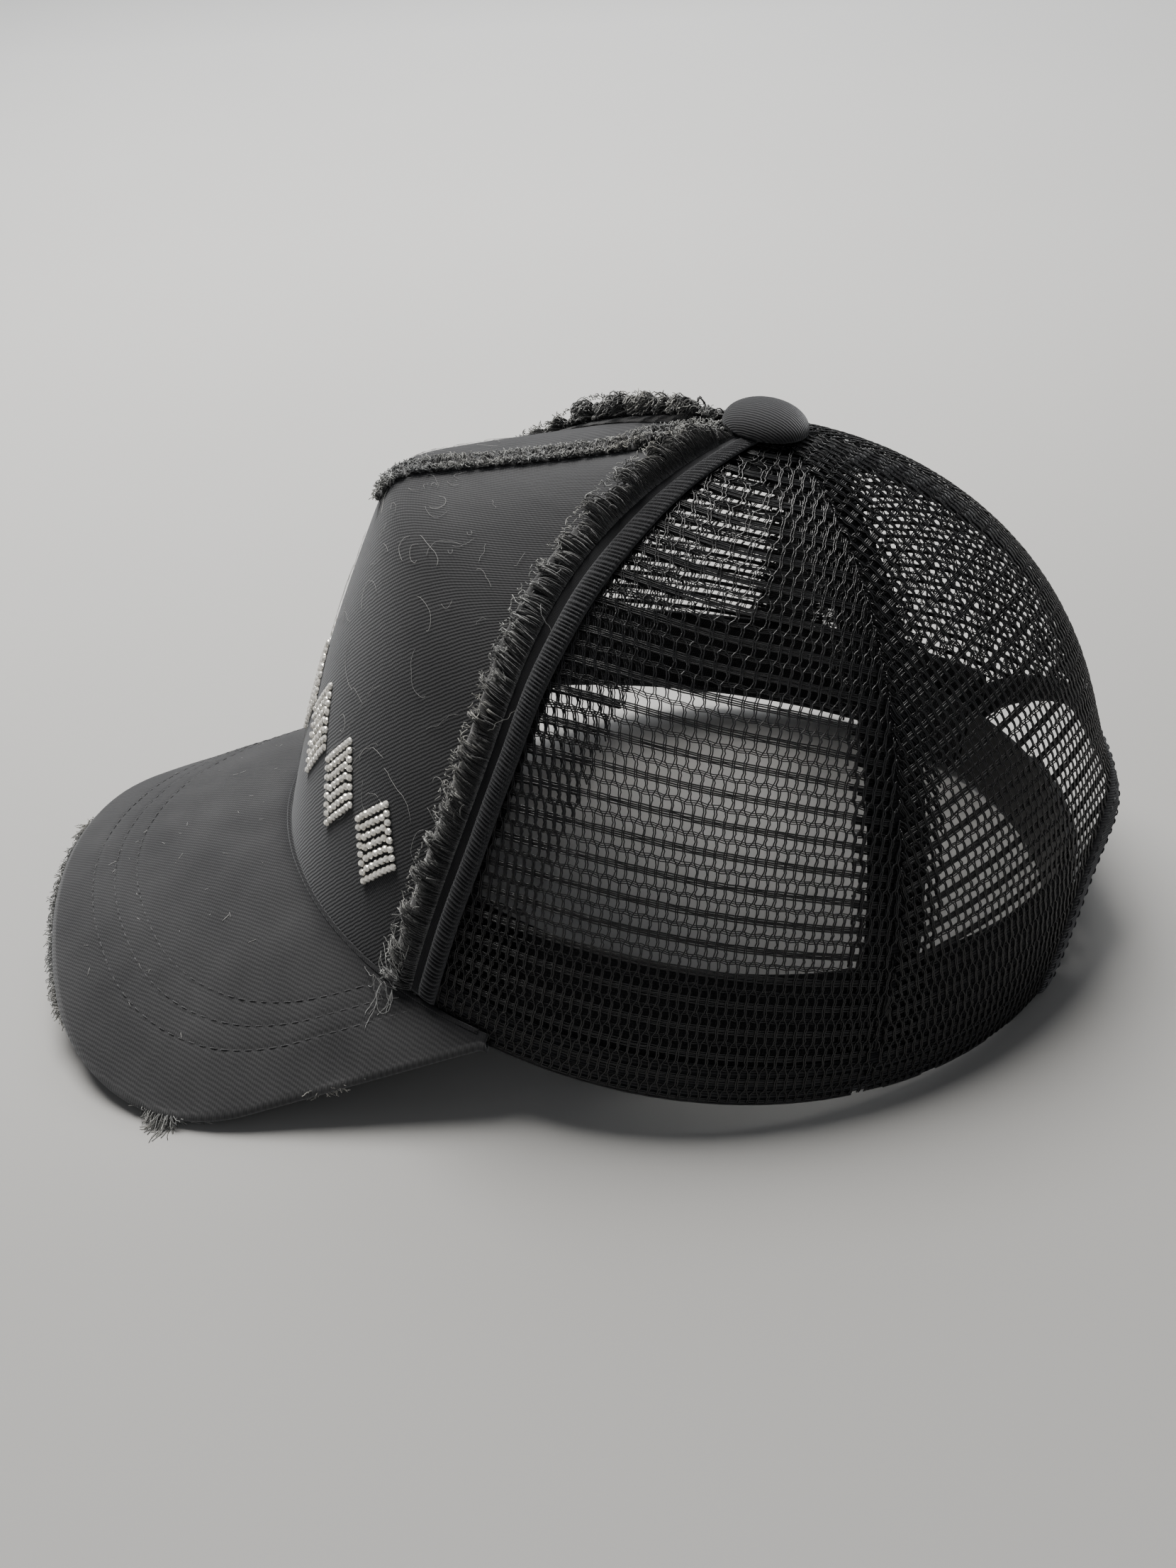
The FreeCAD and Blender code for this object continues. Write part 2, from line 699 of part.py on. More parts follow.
def dome_layer(label, depth, thickness):
    """A layer of the button's dome: two arcs about one centre under the base, turned about the axis."""
    body = doc.addObject("PartDesign::Body", label)
    body.Label = label
    sketch = new_sketch(body, label + "_profile", "XZ_Plane")
    sphere = doc_value(DOME_RADIUS)
    centre = Vector(0, size("button_dome") - sphere, 0)
    edges = []
    for expression in (depth, "%s + %s" % (depth, thickness)):
        radius = sphere - doc_value(expression)
        start = math.asin(-centre.y / radius)
        arc = sketch.addGeometry(Part.ArcOfCircle(
            Part.Circle(centre, Vector(0, 0, 1), radius), start, math.pi / 2), False)
        edges.append((arc, radius, expression))
    outer, inner = edges[0][0], edges[1][0]
    points = {}
    for arc in (outer, inner):
        points[arc] = (sketch.getPoint(arc, 1), sketch.getPoint(arc, 2))
    foot = sketch.addGeometry(Part.LineSegment(points[inner][0], points[outer][0]), False)
    crest = sketch.addGeometry(Part.LineSegment(points[inner][1], points[outer][1]), False)
    for line, end in ((foot, 1), (crest, 2)):
        constrain(sketch, "Coincident", line, 1, inner, end)
        constrain(sketch, "Coincident", line, 2, outer, end)
    constrain(sketch, "Coincident", outer, 3, inner, 3)
    constrain(sketch, "PointOnObject", outer, 3, -2)
    constrain(sketch, "DistanceY", outer, 3, -1, 1, -centre.y,
              expression="%s - sizes.button_dome" % DOME_RADIUS)
    for arc, radius, expression in edges:
        constrain(sketch, "Radius", arc, radius, expression="%s - (%s)" % (DOME_RADIUS, expression))
        constrain(sketch, "PointOnObject", arc, 1, -1)
        constrain(sketch, "PointOnObject", arc, 2, -2)
    turn = body.newObject("PartDesign::Revolution", label + "_turn")
    turn.Profile = sketch
    turn.ReferenceAxis = (sketch, ["V_Axis"])
    turn.Angle = 360.0
    local_placements[label] = FreeCAD.Placement(button_axis, FreeCAD.Rotation())
    sub_parts.append(body)


local_placements = {}
dome_layer("button_cap", "0", "sizes.button_cloth")
dome_layer("button_shell", "sizes.button_cloth + sizes.layer_gap", "sizes.button_metal")


def cylinder(name, radius, height, place, angle=None):
    """A cylinder, or a sector of one, bound to the sheet."""
    solid = doc.addObject("Part::Cylinder", name)
    bind(solid, Radius=radius, Height=height)
    if angle:
        bind(solid, Angle=angle)
    solid.Placement = place
    return solid


def cut(label, base, tool):
    result = doc.addObject("Part::Cut", label)
    result.Label = label
    result.Base = base
    result.Tool = tool
    return result


def raised(z):
    return FreeCAD.Placement(Vector(0, BUTTON_Y, z), FreeCAD.Rotation())


BUTTON_BACK_TOP = CROWN_HEIGHT - size("button_back_depth")
BUTTON_BACK_FOOT = BUTTON_BACK_TOP - size("button_back_height")
sub_parts.append(cut(
    "button_back",
    cylinder("button_back_disc", "sizes.button_back_radius", "sizes.button_back_height",
             raised(BUTTON_BACK_FOOT)),
    cylinder("button_back_hole", "sizes.prong_radius + sizes.layer_gap", "sizes.button_back_height",
             raised(BUTTON_BACK_FOOT))))
prong = cylinder(
    "button_prong", "sizes.prong_radius",
    "sizes.button_back_depth + sizes.button_back_height + sizes.button_lift + sizes.button_dome"
    " - sizes.button_cloth - sizes.button_metal - 3 * sizes.layer_gap",
    raised(BUTTON_BACK_FOOT))
prong.Label = "button_prong"
sub_parts.append(prong)

# ---------------------------------------------------------------- stones on the front panel


def diamond_path(half_width, half_height, pitch):
    """Evenly spaced places round a diamond's outline."""
    corners = [(half_width, 0), (0, half_height), (-half_width, 0), (0, -half_height)]
    side = math.hypot(half_width, half_height)
    steps = max(2, round(side / pitch))
    places = []
    for (x0, y0), (x1, y1) in zip(corners, corners[1:] + corners[:1]):
        for i in range(steps):
            share = i / steps
            places.append((x0 + (x1 - x0) * share, y0 + (y1 - y0) * share))
    return places


def stone_places():
    """Distances round and up the front panel for every stone: a row of filled diamonds."""
    count, rings = int(size("diamond_count")), int(size("diamond_rings"))
    places = []
    for i in range(count):
        middle = (i - (count - 1) / 2) * size("diamond_spacing")
        places.append((middle, 0.0))
        for ring in range(1, rings + 1):
            for across, up in diamond_path(size("diamond_half_width") * ring / rings,
                                           size("diamond_half_height") * ring / rings, size("stone_pitch")):
                places.append((middle + across, up))
    return places


def stone_solids():
    centre_v = height_parameter(0.0, size("diamond_centre_height"))
    base_radius = size("stone_diameter") / 2
    solids = []
    for across, up in stone_places():
        u = across / crown_frame(0.0, centre_v)[2]
        per_v = (outer_point(u, centre_v + 0.01) - outer_point(u, centre_v - 0.01)).Length / 0.02
        point, normal, _ = crown_frame(u, centre_v + up / per_v)
        solids.append(Part.makeCone(
            base_radius, base_radius * 0.6, size("stone_height"), point + normal * (2 * GAP), normal))
    return solids


feature("front_studs", Part.makeCompound(stone_solids()))

# ---------------------------------------------------------------- snap strap

STRAP_CENTRE = size("strap_centre")
OUTER_STRAP_INSIDE = "(sizes.strap_outer_radius - sizes.strap_thickness)"
INNER_STRAP_OUTSIDE = "(%s - sizes.strap_gap)" % OUTER_STRAP_INSIDE
INNER_STRAP_INSIDE = "(%s - sizes.strap_thickness)" % INNER_STRAP_OUTSIDE


def strap_place(start_angle):
    """The strap's own axis, turned so that a sector starts at an angle from the wearer's left."""
    return FreeCAD.Placement(
        Vector(0, STRAP_CENTRE, size("strap_bottom")), FreeCAD.Rotation(Vector(0, 0, 1), start_angle))


def curved_strip(label, outside, inside, start_angle, sweep):
    """A strip of the strap's height, bent about the strap's axis."""
    place = strap_place(start_angle)
    return cut(label,
               cylinder(label + "_outside", outside, "sizes.strap_height", place, sweep),
               cylinder(label + "_inside", inside, "sizes.strap_height", strap_place(0.0)))


def snap_row(label, radius, length, middle_radius, first, step):
    """A row of radial cylinders for the snap holes or the studs."""
    pins = []
    for i in range(int(size("snap_count"))):
        angle = first + i * step * size("snap_pitch_angle")
        way = Vector(math.cos(math.radians(angle)), math.sin(math.radians(angle)), 0)
        pin = doc.addObject("Part::Cylinder", "%s_%d" % (label, i + 1))
        bind(pin, Radius=radius, Height=length)
        pin.Placement = FreeCAD.Placement(
            Vector(0, STRAP_CENTRE, size("strap_bottom") + size("strap_height") / 2)
            + way * middle_radius, FreeCAD.Rotation(Vector(0, 0, 1), way))
        pins.append(pin)
    row = doc.addObject("Part::MultiFuse", label)
    row.Shapes = pins
    return row


def round_free_end(label, strip, angle):
    """Round the two corners of a strip's free end."""
    doc.recompute()
    way = Vector(math.cos(math.radians(angle)), math.sin(math.radians(angle)), 0)
    corners = []
    for number, edge in enumerate(strip.Shape.Edges, start=1):
        middle = edge.CenterOfMass - Vector(0, STRAP_CENTRE, 0)
        level = Vector(middle.x, middle.y, 0)
        if abs(edge.Length - size("strap_thickness")) < 0.01 and level.getAngle(way) < 0.005:
            corners.append((number, size("strap_corner_radius"), size("strap_corner_radius")))
    rounded = doc.addObject("Part::Fillet", label)
    rounded.Base = strip
    rounded.Edges = corners
    return rounded


HINGE_ANGLE = size("strap_hinge_angle")
PAST_MIDDLE = size("strap_past_middle")
STRAP_SWEEP = "sizes.strap_hinge_angle + sizes.strap_past_middle"

outer_strip = curved_strip("outer_strip", "sizes.strap_outer_radius", OUTER_STRAP_INSIDE,
                           90.0 - HINGE_ANGLE, STRAP_SWEEP)
outer_rounded = round_free_end("outer_strip_rounded", outer_strip, 90.0 + PAST_MIDDLE)
hole_row = snap_row("snap_holes", "sizes.snap_hole_radius", "6 * sizes.strap_thickness",
                    doc_value(OUTER_STRAP_INSIDE) - 2 * size("strap_thickness"),
                    90.0 + 2 * size("snap_pitch_angle"), -1)
sub_parts.append(cut("strap_holes", outer_rounded, hole_row))

inner_strip = curved_strip("inner_strip", INNER_STRAP_OUTSIDE, INNER_STRAP_INSIDE,
                           90.0 - PAST_MIDDLE, STRAP_SWEEP)
inner_rounded = round_free_end("inner_strip_rounded", inner_strip, 90.0 - PAST_MIDDLE)
stud_row = snap_row("snap_studs", "sizes.snap_stud_radius",
                    "sizes.strap_thickness / 2 + sizes.snap_stud_height",
                    doc_value(INNER_STRAP_OUTSIDE) - size("strap_thickness") / 2,
                    90.0 - 2 * size("snap_pitch_angle"), 1)
strap_studs = doc.addObject("Part::MultiFuse", "strap_studs")
strap_studs.Label = "strap_studs"
strap_studs.Shapes = [inner_rounded, stud_row]
sub_parts.append(strap_studs)

TAB_CLEAR = size("tab_clearance_angle")
sub_parts.append(curved_strip(
    "strap_tab_left", "sizes.strap_outer_radius", OUTER_STRAP_INSIDE,
    90.0 - HINGE_ANGLE - TAB_CLEAR - size("tab_sweep"), "sizes.tab_sweep"))
sub_parts.append(curved_strip(
    "strap_tab_right", INNER_STRAP_OUTSIDE, INNER_STRAP_INSIDE,
    90.0 + HINGE_ANGLE + TAB_CLEAR, "sizes.tab_sweep"))

# ---------------------------------------------------------------- standing pose, checks and export

doc.recompute()
tip_back = FreeCAD.Rotation(Vector(1, 0, 0), -size("rest_pitch"))


def tipped_box():
    """The box of the tipped cap."""
    box = FreeCAD.BoundBox()
    for part in sub_parts:
        shape = part.Shape.copy()
        local = local_placements.get(part.Label, FreeCAD.Placement())
        shape.Placement = FreeCAD.Placement(Vector(), tip_back).multiply(local).multiply(shape.Placement)
        box.add(shape.optimalBoundingBox(True))
    return box


level_box = tipped_box()
standing = FreeCAD.Placement(Vector(0, -level_box.Center.y, -level_box.ZMin), tip_back)
for part in sub_parts:
    own = local_placements.get(part.Label)
    if own is None:
        own = part.Placement
    part.Placement = standing.multiply(own)
doc.recompute()

for item in doc.Objects:
    if "Invalid" in item.State or "Error" in item.State:
        raise RuntimeError("%s is in state %s" % (item.Name, item.State))

os.makedirs("parts", exist_ok=True)
for part in sub_parts:
    shape = part.Shape
    if shape.isNull() or not shape.isValid():
        raise RuntimeError("%s has no valid shape" % part.Label)
    shape.exportStep("parts/%s.step" % part.Label)
    print("%-24s solids %3d  volume %10.1f mm3" % (part.Label, len(shape.Solids), shape.Volume))
print("standing placement", standing)
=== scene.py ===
import json
import math

import bmesh
import bpy
import numpy as np
from mathutils import Matrix, Vector


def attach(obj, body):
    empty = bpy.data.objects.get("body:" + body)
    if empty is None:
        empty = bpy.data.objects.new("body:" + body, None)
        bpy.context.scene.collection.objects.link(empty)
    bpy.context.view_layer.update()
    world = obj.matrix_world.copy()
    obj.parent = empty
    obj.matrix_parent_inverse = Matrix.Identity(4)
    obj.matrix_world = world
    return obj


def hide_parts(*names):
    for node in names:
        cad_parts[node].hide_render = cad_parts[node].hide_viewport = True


# The trucker cap's looks. Lengths here are millimetres in the cap's own frame unless a name says
# otherwise: the head oval is centred on the origin, the brim points to -Y and +Z runs up to the button.
# place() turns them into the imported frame's metres. A point of the crown is given by u, in degrees from
# the front towards the wearer's left, and by v, from 0 at the hem to 1 at the button.

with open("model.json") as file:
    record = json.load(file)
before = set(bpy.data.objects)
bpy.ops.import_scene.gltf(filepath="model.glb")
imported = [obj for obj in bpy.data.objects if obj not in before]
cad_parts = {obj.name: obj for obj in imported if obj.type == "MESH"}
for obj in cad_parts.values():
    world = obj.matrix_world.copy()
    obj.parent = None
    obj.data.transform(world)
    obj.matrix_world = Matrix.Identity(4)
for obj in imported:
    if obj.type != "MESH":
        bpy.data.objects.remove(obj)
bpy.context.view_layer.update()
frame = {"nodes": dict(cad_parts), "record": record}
RNG = np.random.default_rng(7)

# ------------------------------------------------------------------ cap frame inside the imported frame

OPENING = next(m for m in frame["record"]["mounts"] if m["name"] == "head_opening")
OPENING_HEIGHT = 2.0
DOWN = np.array(OPENING["axis"])
TILT = math.atan2(-DOWN[1], -DOWN[2])
TURN = np.array([[1, 0, 0],
                 [0, math.cos(TILT), math.sin(TILT)],
                 [0, -math.sin(TILT), math.cos(TILT)]])
CAP_ORIGIN = np.array(OPENING["pos_m"]) + DOWN * OPENING_HEIGHT / 1000


def place(points):
    """Cap-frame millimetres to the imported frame's metres."""
    return np.asarray(points, float) @ TURN.T / 1000 + CAP_ORIGIN


# ------------------------------------------------------------------ crown surface

HALF_LENGTH, HALF_WIDTH, CROWN_HEIGHT, BUTTON_Y = 100.0, 87.0, 120.0, 1.5
# each profile's control points: how far out from the button's axis, and how high
FRONT_PROFILE = [(HALF_LENGTH + BUTTON_Y, 0), (HALF_LENGTH + BUTTON_Y - 3.5, 33.7), (82.3, 94.8),
                 (80.1, 102.8), (43.8, 107.6), (0, CROWN_HEIGHT)]
SIDE_PROFILE = [(HALF_WIDTH, 0), (HALF_WIDTH + 3.1, 31.0), (41.5, CROWN_HEIGHT), (0, CROWN_HEIGHT)]
BACK_PROFILE = [(HALF_LENGTH - BUTTON_Y, 0), (HALF_LENGTH - BUTTON_Y + 5.7, 76.0),
                (50.8, CROWN_HEIGHT), (0, CROWN_HEIGHT)]
HEM_FRONT_RISE, HEM_BACK_RISE = 10.0, 9.5
ARCH_HALF_WIDTH, ARCH_HEIGHT, ARCH_BASE = 47.0, 41.0, 6.0
ARCH_FLARE, ARCH_FLARE_REACH, ARCH_FLARE_MIDDLE, ARCH_FLARE_SPREAD = 4.0, 9.0, 24.0, 13.0
BINDING_WIDTH = 6.5


def spline(poles, v):
    """Points of a clamped cubic spline at the parameters v."""
    poles = np.asarray(poles, float)
    spans = len(poles) - 3
    knots = np.concatenate([[0] * 3, np.arange(spans + 1) / spans, [1] * 3])
    v = np.clip(np.asarray(v, float), 0, 1 - 1e-9)
    basis = [((knots[i] <= v) & (v < knots[i + 1])).astype(float) for i in range(len(knots) - 1)]
    for degree in (1, 2, 3):
        raised = []
        for i in range(len(basis) - 1):
            term = 0
            span, next_span = knots[i + degree] - knots[i], knots[i + degree + 1] - knots[i + 1]
            if span > 0:
                term = term + (v - knots[i]) / span * basis[i]
            if next_span > 0:
                term = term + (knots[i + degree + 1] - v) / next_span * basis[i + 1]
            raised.append(term)
        basis = raised
    return sum(b[..., None] * p for b, p in zip(basis, poles))


def smooth_step(value):
    """0 below 0, 1 above 1, and a smooth rise between them."""
    value = np.clip(value, 0, 1)
    return value * value * (3 - 2 * value)


def arch_out(x, z):
    """1 on the back opening's edge, more outside it."""
    return np.hypot(x / ARCH_HALF_WIDTH, (z - ARCH_BASE) / ARCH_HEIGHT)


def arch_flare(x, z):
    """How far the netting stands out behind the crown, on either side of the arch's top."""
    past_edge = np.maximum(0, arch_out(x, z) - 1) * ARCH_HEIGHT / ARCH_FLARE_REACH
    beside = (np.abs(x) - ARCH_FLARE_MIDDLE) / ARCH_FLARE_SPREAD
    return ARCH_FLARE * np.exp(-past_edge ** 2 - beside ** 2) * smooth_step((z - ARCH_BASE) / ARCH_HEIGHT)


def crown(u, v, depth=0.0):
    """Points under the crown's outer surface by depth. u is in degrees from the front."""
    u, v = np.broadcast_arrays(np.asarray(u, float), np.asarray(v, float))
    if np.any(depth):
        return crown(u, v) - crown_normal(u, v) * np.asarray(depth)[..., None]
    sine, cosine = np.sin(np.radians(u)), np.cos(np.radians(u))
    side = spline(SIDE_PROFILE, v)
    front = cosine > 0
    along = np.where(front[..., None], spline(FRONT_PROFILE, v), spline(BACK_PROFILE, v))
    hem_rise = np.where(front, HEM_FRONT_RISE, HEM_BACK_RISE)
    x = side[..., 0] * sine
    z = side[..., 1] * sine ** 2 + along[..., 1] * cosine ** 2 + hem_rise * cosine ** 2 * (1 - v) ** 2
    y = BUTTON_Y - along[..., 0] * cosine - np.where(front, 0, arch_flare(x, z) * cosine)
    return np.stack([x, y, z], -1)


def unit(vectors):
    return vectors / np.maximum(np.linalg.norm(vectors, axis=-1, keepdims=True), 1e-9)


def crown_normal(u, v):
    """Unit vectors out of the crown."""
    step = 1e-3
    round_way = crown(u + 0.1, v) - crown(u - 0.1, v)
    up_way = crown(u, np.minimum(v + step, 1)) - crown(u, np.maximum(v - step, 0))
    return unit(np.cross(round_way, up_way))


def degree_length(u, v):
    """Millimetres round the crown in one degree of u."""
    return np.linalg.norm(crown(u + 0.1, v) - crown(u - 0.1, v), axis=-1) / 0.2


def running_length(line):
    """How far along a line of points each one is."""
    return np.concatenate([[0], np.cumsum(np.linalg.norm(np.diff(line, axis=0), axis=1))])


def along_line(at, reach, line):
    """The points of a line, given how far along it each one is, at other distances."""
    return np.stack([np.interp(at, reach, line[:, k]) for k in range(line.shape[1])], -1)


# lengths up the crown, from the front round to the middle of the back: the same for both sides
ARC_COLUMNS, ARC_ROWS = 120, 300
TABLE_U, TABLE_V = np.linspace(0, 180, ARC_COLUMNS + 1), np.linspace(0, 1, ARC_ROWS + 1)
TABLE_ARC = np.stack([running_length(line) for line in crown(TABLE_U[:, None], TABLE_V[None])])
TABLE_SHARE = np.stack([np.interp(TABLE_V, arc / arc[-1], TABLE_V) for arc in TABLE_ARC])


def v_at_share(u, share):
    """The v at a share of the way, by length, from the hem up to the button."""
    from_front = np.abs((np.asarray(u) + 180) % 360 - 180)
    column = np.clip(from_front / 180 * ARC_COLUMNS, 0, ARC_COLUMNS - 0.001)
    row = np.clip(np.asarray(share), 0, 0.99999) * ARC_ROWS
    i, j = column.astype(int), row.astype(int)
    a, b = column - i, row - j
    table = TABLE_SHARE
    return ((table[i, j] * (1 - a) + table[i + 1, j] * a) * (1 - b)
            + (table[i, j + 1] * (1 - a) + table[i + 1, j + 1] * a) * b)


def meridian_length(u):
    """The length from the hem up to the button."""
    return np.interp(np.abs(u), TABLE_U, TABLE_ARC[:, -1])


def v_at_height(u, height):
    """The v whose distance up from the hem, along the crown, is a height."""
    return float(v_at_share(np.array(u), np.array(height / meridian_length(u))))


# the seams: their direction at the hem and how it drifts on the way up
FRONT_SEAM_U, FRONT_SEAM_DRIFT, FRONT_SEAM_CURL, SIDE_SEAM_U, SIDE_SEAM_DRIFT = 46.8, -1.8, 20.8, 107.8, 11.0


def front_seam(v):
    return FRONT_SEAM_U + FRONT_SEAM_DRIFT * v + FRONT_SEAM_CURL * v * v


def side_seam(v):
    return SIDE_SEAM_U + SIDE_SEAM_DRIFT * v


def constant(value):
    return lambda v: value + 0 * v


middle_back, middle_front = constant(180.0), constant(0.0)


def mirrored(seam):
    return lambda v: -seam(v)


def off_seam(seam, v, distance):
    """The direction, at v, of what lies some millimetres behind a seam."""
    return seam(v) + distance / degree_length(seam(v), v)


def beside(seam, distance):
    """A line at a distance behind a seam."""
    return lambda v: off_seam(seam, v, distance)


def v_at_radius(u, radius):
    """The v at which the crown has closed in to a radius round the button's axis."""
    v = np.linspace(0.5, 1, 400)
    points = crown(np.full(400, u), v)
    distance = np.hypot(points[:, 0], points[:, 1] - BUTTON_Y)
    return float(np.interp(-radius, -distance, v))


PRONG_HOLE_RADIUS = 3.0
TOP_V = v_at_radius(90.0, PRONG_HOLE_RADIUS)

# ------------------------------------------------------------------ mesh helpers


def make_object(name, vertices, faces, smooth=True, cloth=None, tone=None, mirror=False):
    """A mesh piece from cap-frame vertices and arrays of triangles or quads.

    cloth holds flat cloth coordinates in millimetres, and tone one number per vertex for the material.
    A mirrored piece is the same one on the wearer's right.
    """
    mesh = bpy.data.meshes.new(name)
    if mirror:
        vertices = vertices * (-1, 1, 1)
    vertices = place(vertices)
    mesh.vertices.add(len(vertices))
    mesh.vertices.foreach_set("co", vertices.astype(np.float32).ravel())
    loops = np.concatenate([f.ravel() for f in faces])
    sizes = np.concatenate([np.full(len(f), f.shape[1]) for f in faces])
    mesh.loops.add(len(loops))
    mesh.loops.foreach_set("vertex_index", loops.astype(np.int32))
    mesh.polygons.add(len(sizes))
    mesh.polygons.foreach_set("loop_start", np.concatenate([[0], np.cumsum(sizes)[:-1]]).astype(np.int32))
    mesh.update(calc_edges=True)
    mesh.validate()
    turned = bmesh.new()
    turned.from_mesh(mesh)
    bmesh.ops.recalc_face_normals(turned, faces=turned.faces)
    turned.to_mesh(mesh)
    turned.free()
    mesh.polygons.foreach_set("use_smooth", np.full(len(mesh.polygons), smooth))
    if cloth is not None:
        layer = mesh.attributes.new("cloth", "FLOAT_VECTOR", "POINT")
        flat = np.zeros((len(vertices), 3), np.float32)
        flat[:, :cloth.shape[1]] = cloth
        layer.data.foreach_set("vector", flat.ravel())
    if tone is not None:
        layer = mesh.attributes.new("tone", "FLOAT", "POINT")
        layer.data.foreach_set("value", np.asarray(tone, np.float32).ravel())
    piece = bpy.data.objects.new(name, mesh)
    bpy.context.scene.collection.objects.link(piece)
    return piece


def grid_quads(rows, columns, wrap=False, offset=0):
    """Quads of a grid of rows x columns vertices, closed round the columns where wrap is true."""
    i = np.arange(rows - 1)[:, None]
    j = np.arange(columns if wrap else columns - 1)[None]
    k = (j + 1) % columns
    quads = np.stack([i * columns + j, i * columns + k, (i + 1) * columns + k, (i + 1) * columns + j], -1)
    return quads.reshape(-1, 4) + offset


class Pile:
    """Collects meshes of one piece, with a tone and cloth coordinates per vertex."""

    def __init__(self):
        self.vertices, self.faces, self.tone, self.cloth, self.count = [], [], [], [], 0

    def add(self, vertices, faces, tone=0.0, cloth=None):
        self.vertices.append(vertices)
        self.faces.append(faces + self.count)
        self.tone.append(np.broadcast_to(tone, len(vertices)))
        self.cloth.append(vertices if cloth is None else cloth)
        self.count += len(vertices)

    def make(self, name, mirror=False):
        groups = {}
        for faces in self.faces:
            groups.setdefault(faces.shape[1], []).append(faces)
        return make_object(name, np.concatenate(self.vertices),
                           [np.concatenate(g) for g in groups.values()], True,
                           np.concatenate(self.cloth), np.concatenate(self.tone), mirror)


def shell(outer, inner):
    """A closed shell between two grids (rows, columns, 3), as vertices and quads."""
    rows, columns = outer.shape[:2]
    count = rows * columns
    top = grid_quads(rows, columns)
    bottom = grid_quads(rows, columns, offset=count)[:, ::-1]
    edge = np.concatenate([
        np.arange(columns), np.arange(1, rows) * columns + columns - 1,
        (rows - 1) * columns + np.arange(columns - 2, -1, -1), np.arange(rows - 2, 0, -1) * columns])
    after = np.roll(edge, -1)
    rim = np.stack([after, edge, edge + count, after + count], -1)
    return np.concatenate([outer.reshape(-1, 3), inner.reshape(-1, 3)]), np.concatenate([top, bottom, rim])


def grid_cloth(grid):
    """Flat cloth coordinates of a surface grid (across, up): distances from its middle column and hem."""
    across = np.linalg.norm(np.diff(grid, axis=0), axis=-1)
    across = np.concatenate([np.zeros((1, grid.shape[1])), np.cumsum(across, 0)])
    across -= across[grid.shape[0] // 2][None]
    up = np.linalg.norm(np.diff(grid, axis=1), axis=-1)
    up = np.concatenate([np.zeros((grid.shape[0], 1)), np.cumsum(up, 1)], 1)
    return np.stack([across, up, 0 * up], -1)


def shares(count):
    """Even shares from 0 to 1."""
    return np.linspace(0, 1, count)


def share_grid(columns, rows, low=0, high=1):
    """Even shares of the way across a grid, and up it between two values."""
    return np.meshgrid(shares(columns), low + (high - low) * shares(rows), indexing="ij")


def panel_grid(from_u, to_u, low_share, high_share, columns, rows):
    """u and v of a grid over a panel, with its rows evenly spaced along the crown."""
    across, up = share_grid(columns, rows, low_share, high_share)
    # the rows are even along the crown at each u, and u depends on v along a seam that drifts
    v = v_at_share(60.0 + 0 * up, up)
    for _ in range(3):
        u = from_u(v) * (1 - across) + to_u(v) * across
        v = v_at_share(u, up)
    return from_u(v) * (1 - across) + to_u(v) * across, v


def band_grid(path, low_v, high_v, near, far, columns, rows):
    """u and v of a band beside a seam, between two distances from it."""
    across, v = share_grid(columns, rows, low_v, high_v)
    distance = near(v) * (1 - across) + far(v) * across
    return off_seam(path, v, distance), v


def shell_pile(outer, inner, tone=0.0):
    """A pile holding a closed shell between two grids, with the outer one's flat cloth coordinates."""
    vertices, faces = shell(outer, inner)
    flat = grid_cloth(outer).reshape(-1, 3)
    tone = np.broadcast_to(tone, outer.shape[:2]).ravel()
    pile = Pile()
    pile.add(vertices, faces, np.concatenate([tone, tone]), np.concatenate([flat, flat]))
    return pile


def crown_shell(u, v, outer_depth, inner_depth, tone=0.0):
    """A pile holding a layer of the crown over a grid of u and v, between two depths."""
    outer, inner = (crown(u, v, np.broadcast_to(depth, u.shape)) for depth in (outer_depth, inner_depth))
    return shell_pile(outer, inner, tone)


def runs_to_tubes(points, normals, radius, run, sides=4):
    """Closed tubes along runs of points; run gives each point's run number, in order."""
    same = run[1:] == run[:-1]
    after = np.concatenate([np.where(same, np.arange(1, len(run)), np.arange(len(run) - 1)), [len(run) - 1]])
    before = np.concatenate([[0], np.where(same, np.arange(len(run) - 1), np.arange(1, len(run)))])
    tangent = unit(points[after] - points[before])
    side = unit(np.cross(normals, tangent))
    up = np.cross(tangent, side)
    angle = (np.arange(sides) + 0.5) / sides * 2 * math.pi
    radius = np.broadcast_to(radius, len(points))[:, None, None]
    ring = points[:, None] + radius * (side[:, None] * np.cos(angle)[:, None]
                                       + up[:, None] * np.sin(angle)[:, None])
    start = np.nonzero(same)[0][:, None] * sides
    k = np.arange(sides)[None]
    following = (k + 1) % sides
    wall = np.stack([start + k, start + following, start + sides + following, start + sides + k], -1)
    first = np.nonzero(np.concatenate([[True], ~same]))[0][:, None] * sides + np.arange(sides)[None, ::-1]
    last = np.nonzero(np.concatenate([~same, [True]]))[0][:, None] * sides + np.arange(sides)[None]
    return ring.reshape(-1, 3), wall.reshape(-1, 4), np.concatenate([first, last])


def add_runs(pile, points, normals, radius, tone, run=None, sides=4):
    """Adds tubes to a pile. Points are (runs, steps, 3), or flat with run numbers."""
    if run is None:
        runs, steps = points.shape[:2]
        run = np.repeat(np.arange(runs), steps)
        radius = np.broadcast_to(radius, (runs, steps)).ravel()
        tone = np.broadcast_to(tone, (runs, steps)).ravel()
        points, normals = points.reshape(-1, 3), np.broadcast_to(normals, points.shape).reshape(-1, 3)
    ring, wall, caps = runs_to_tubes(points, normals, radius, run, sides)
    tone = np.repeat(np.broadcast_to(tone, len(points)), sides)
    base = pile.count
    pile.add(ring, wall, tone)
    pile.faces.append(caps + base)


# ------------------------------------------------------------------ materials


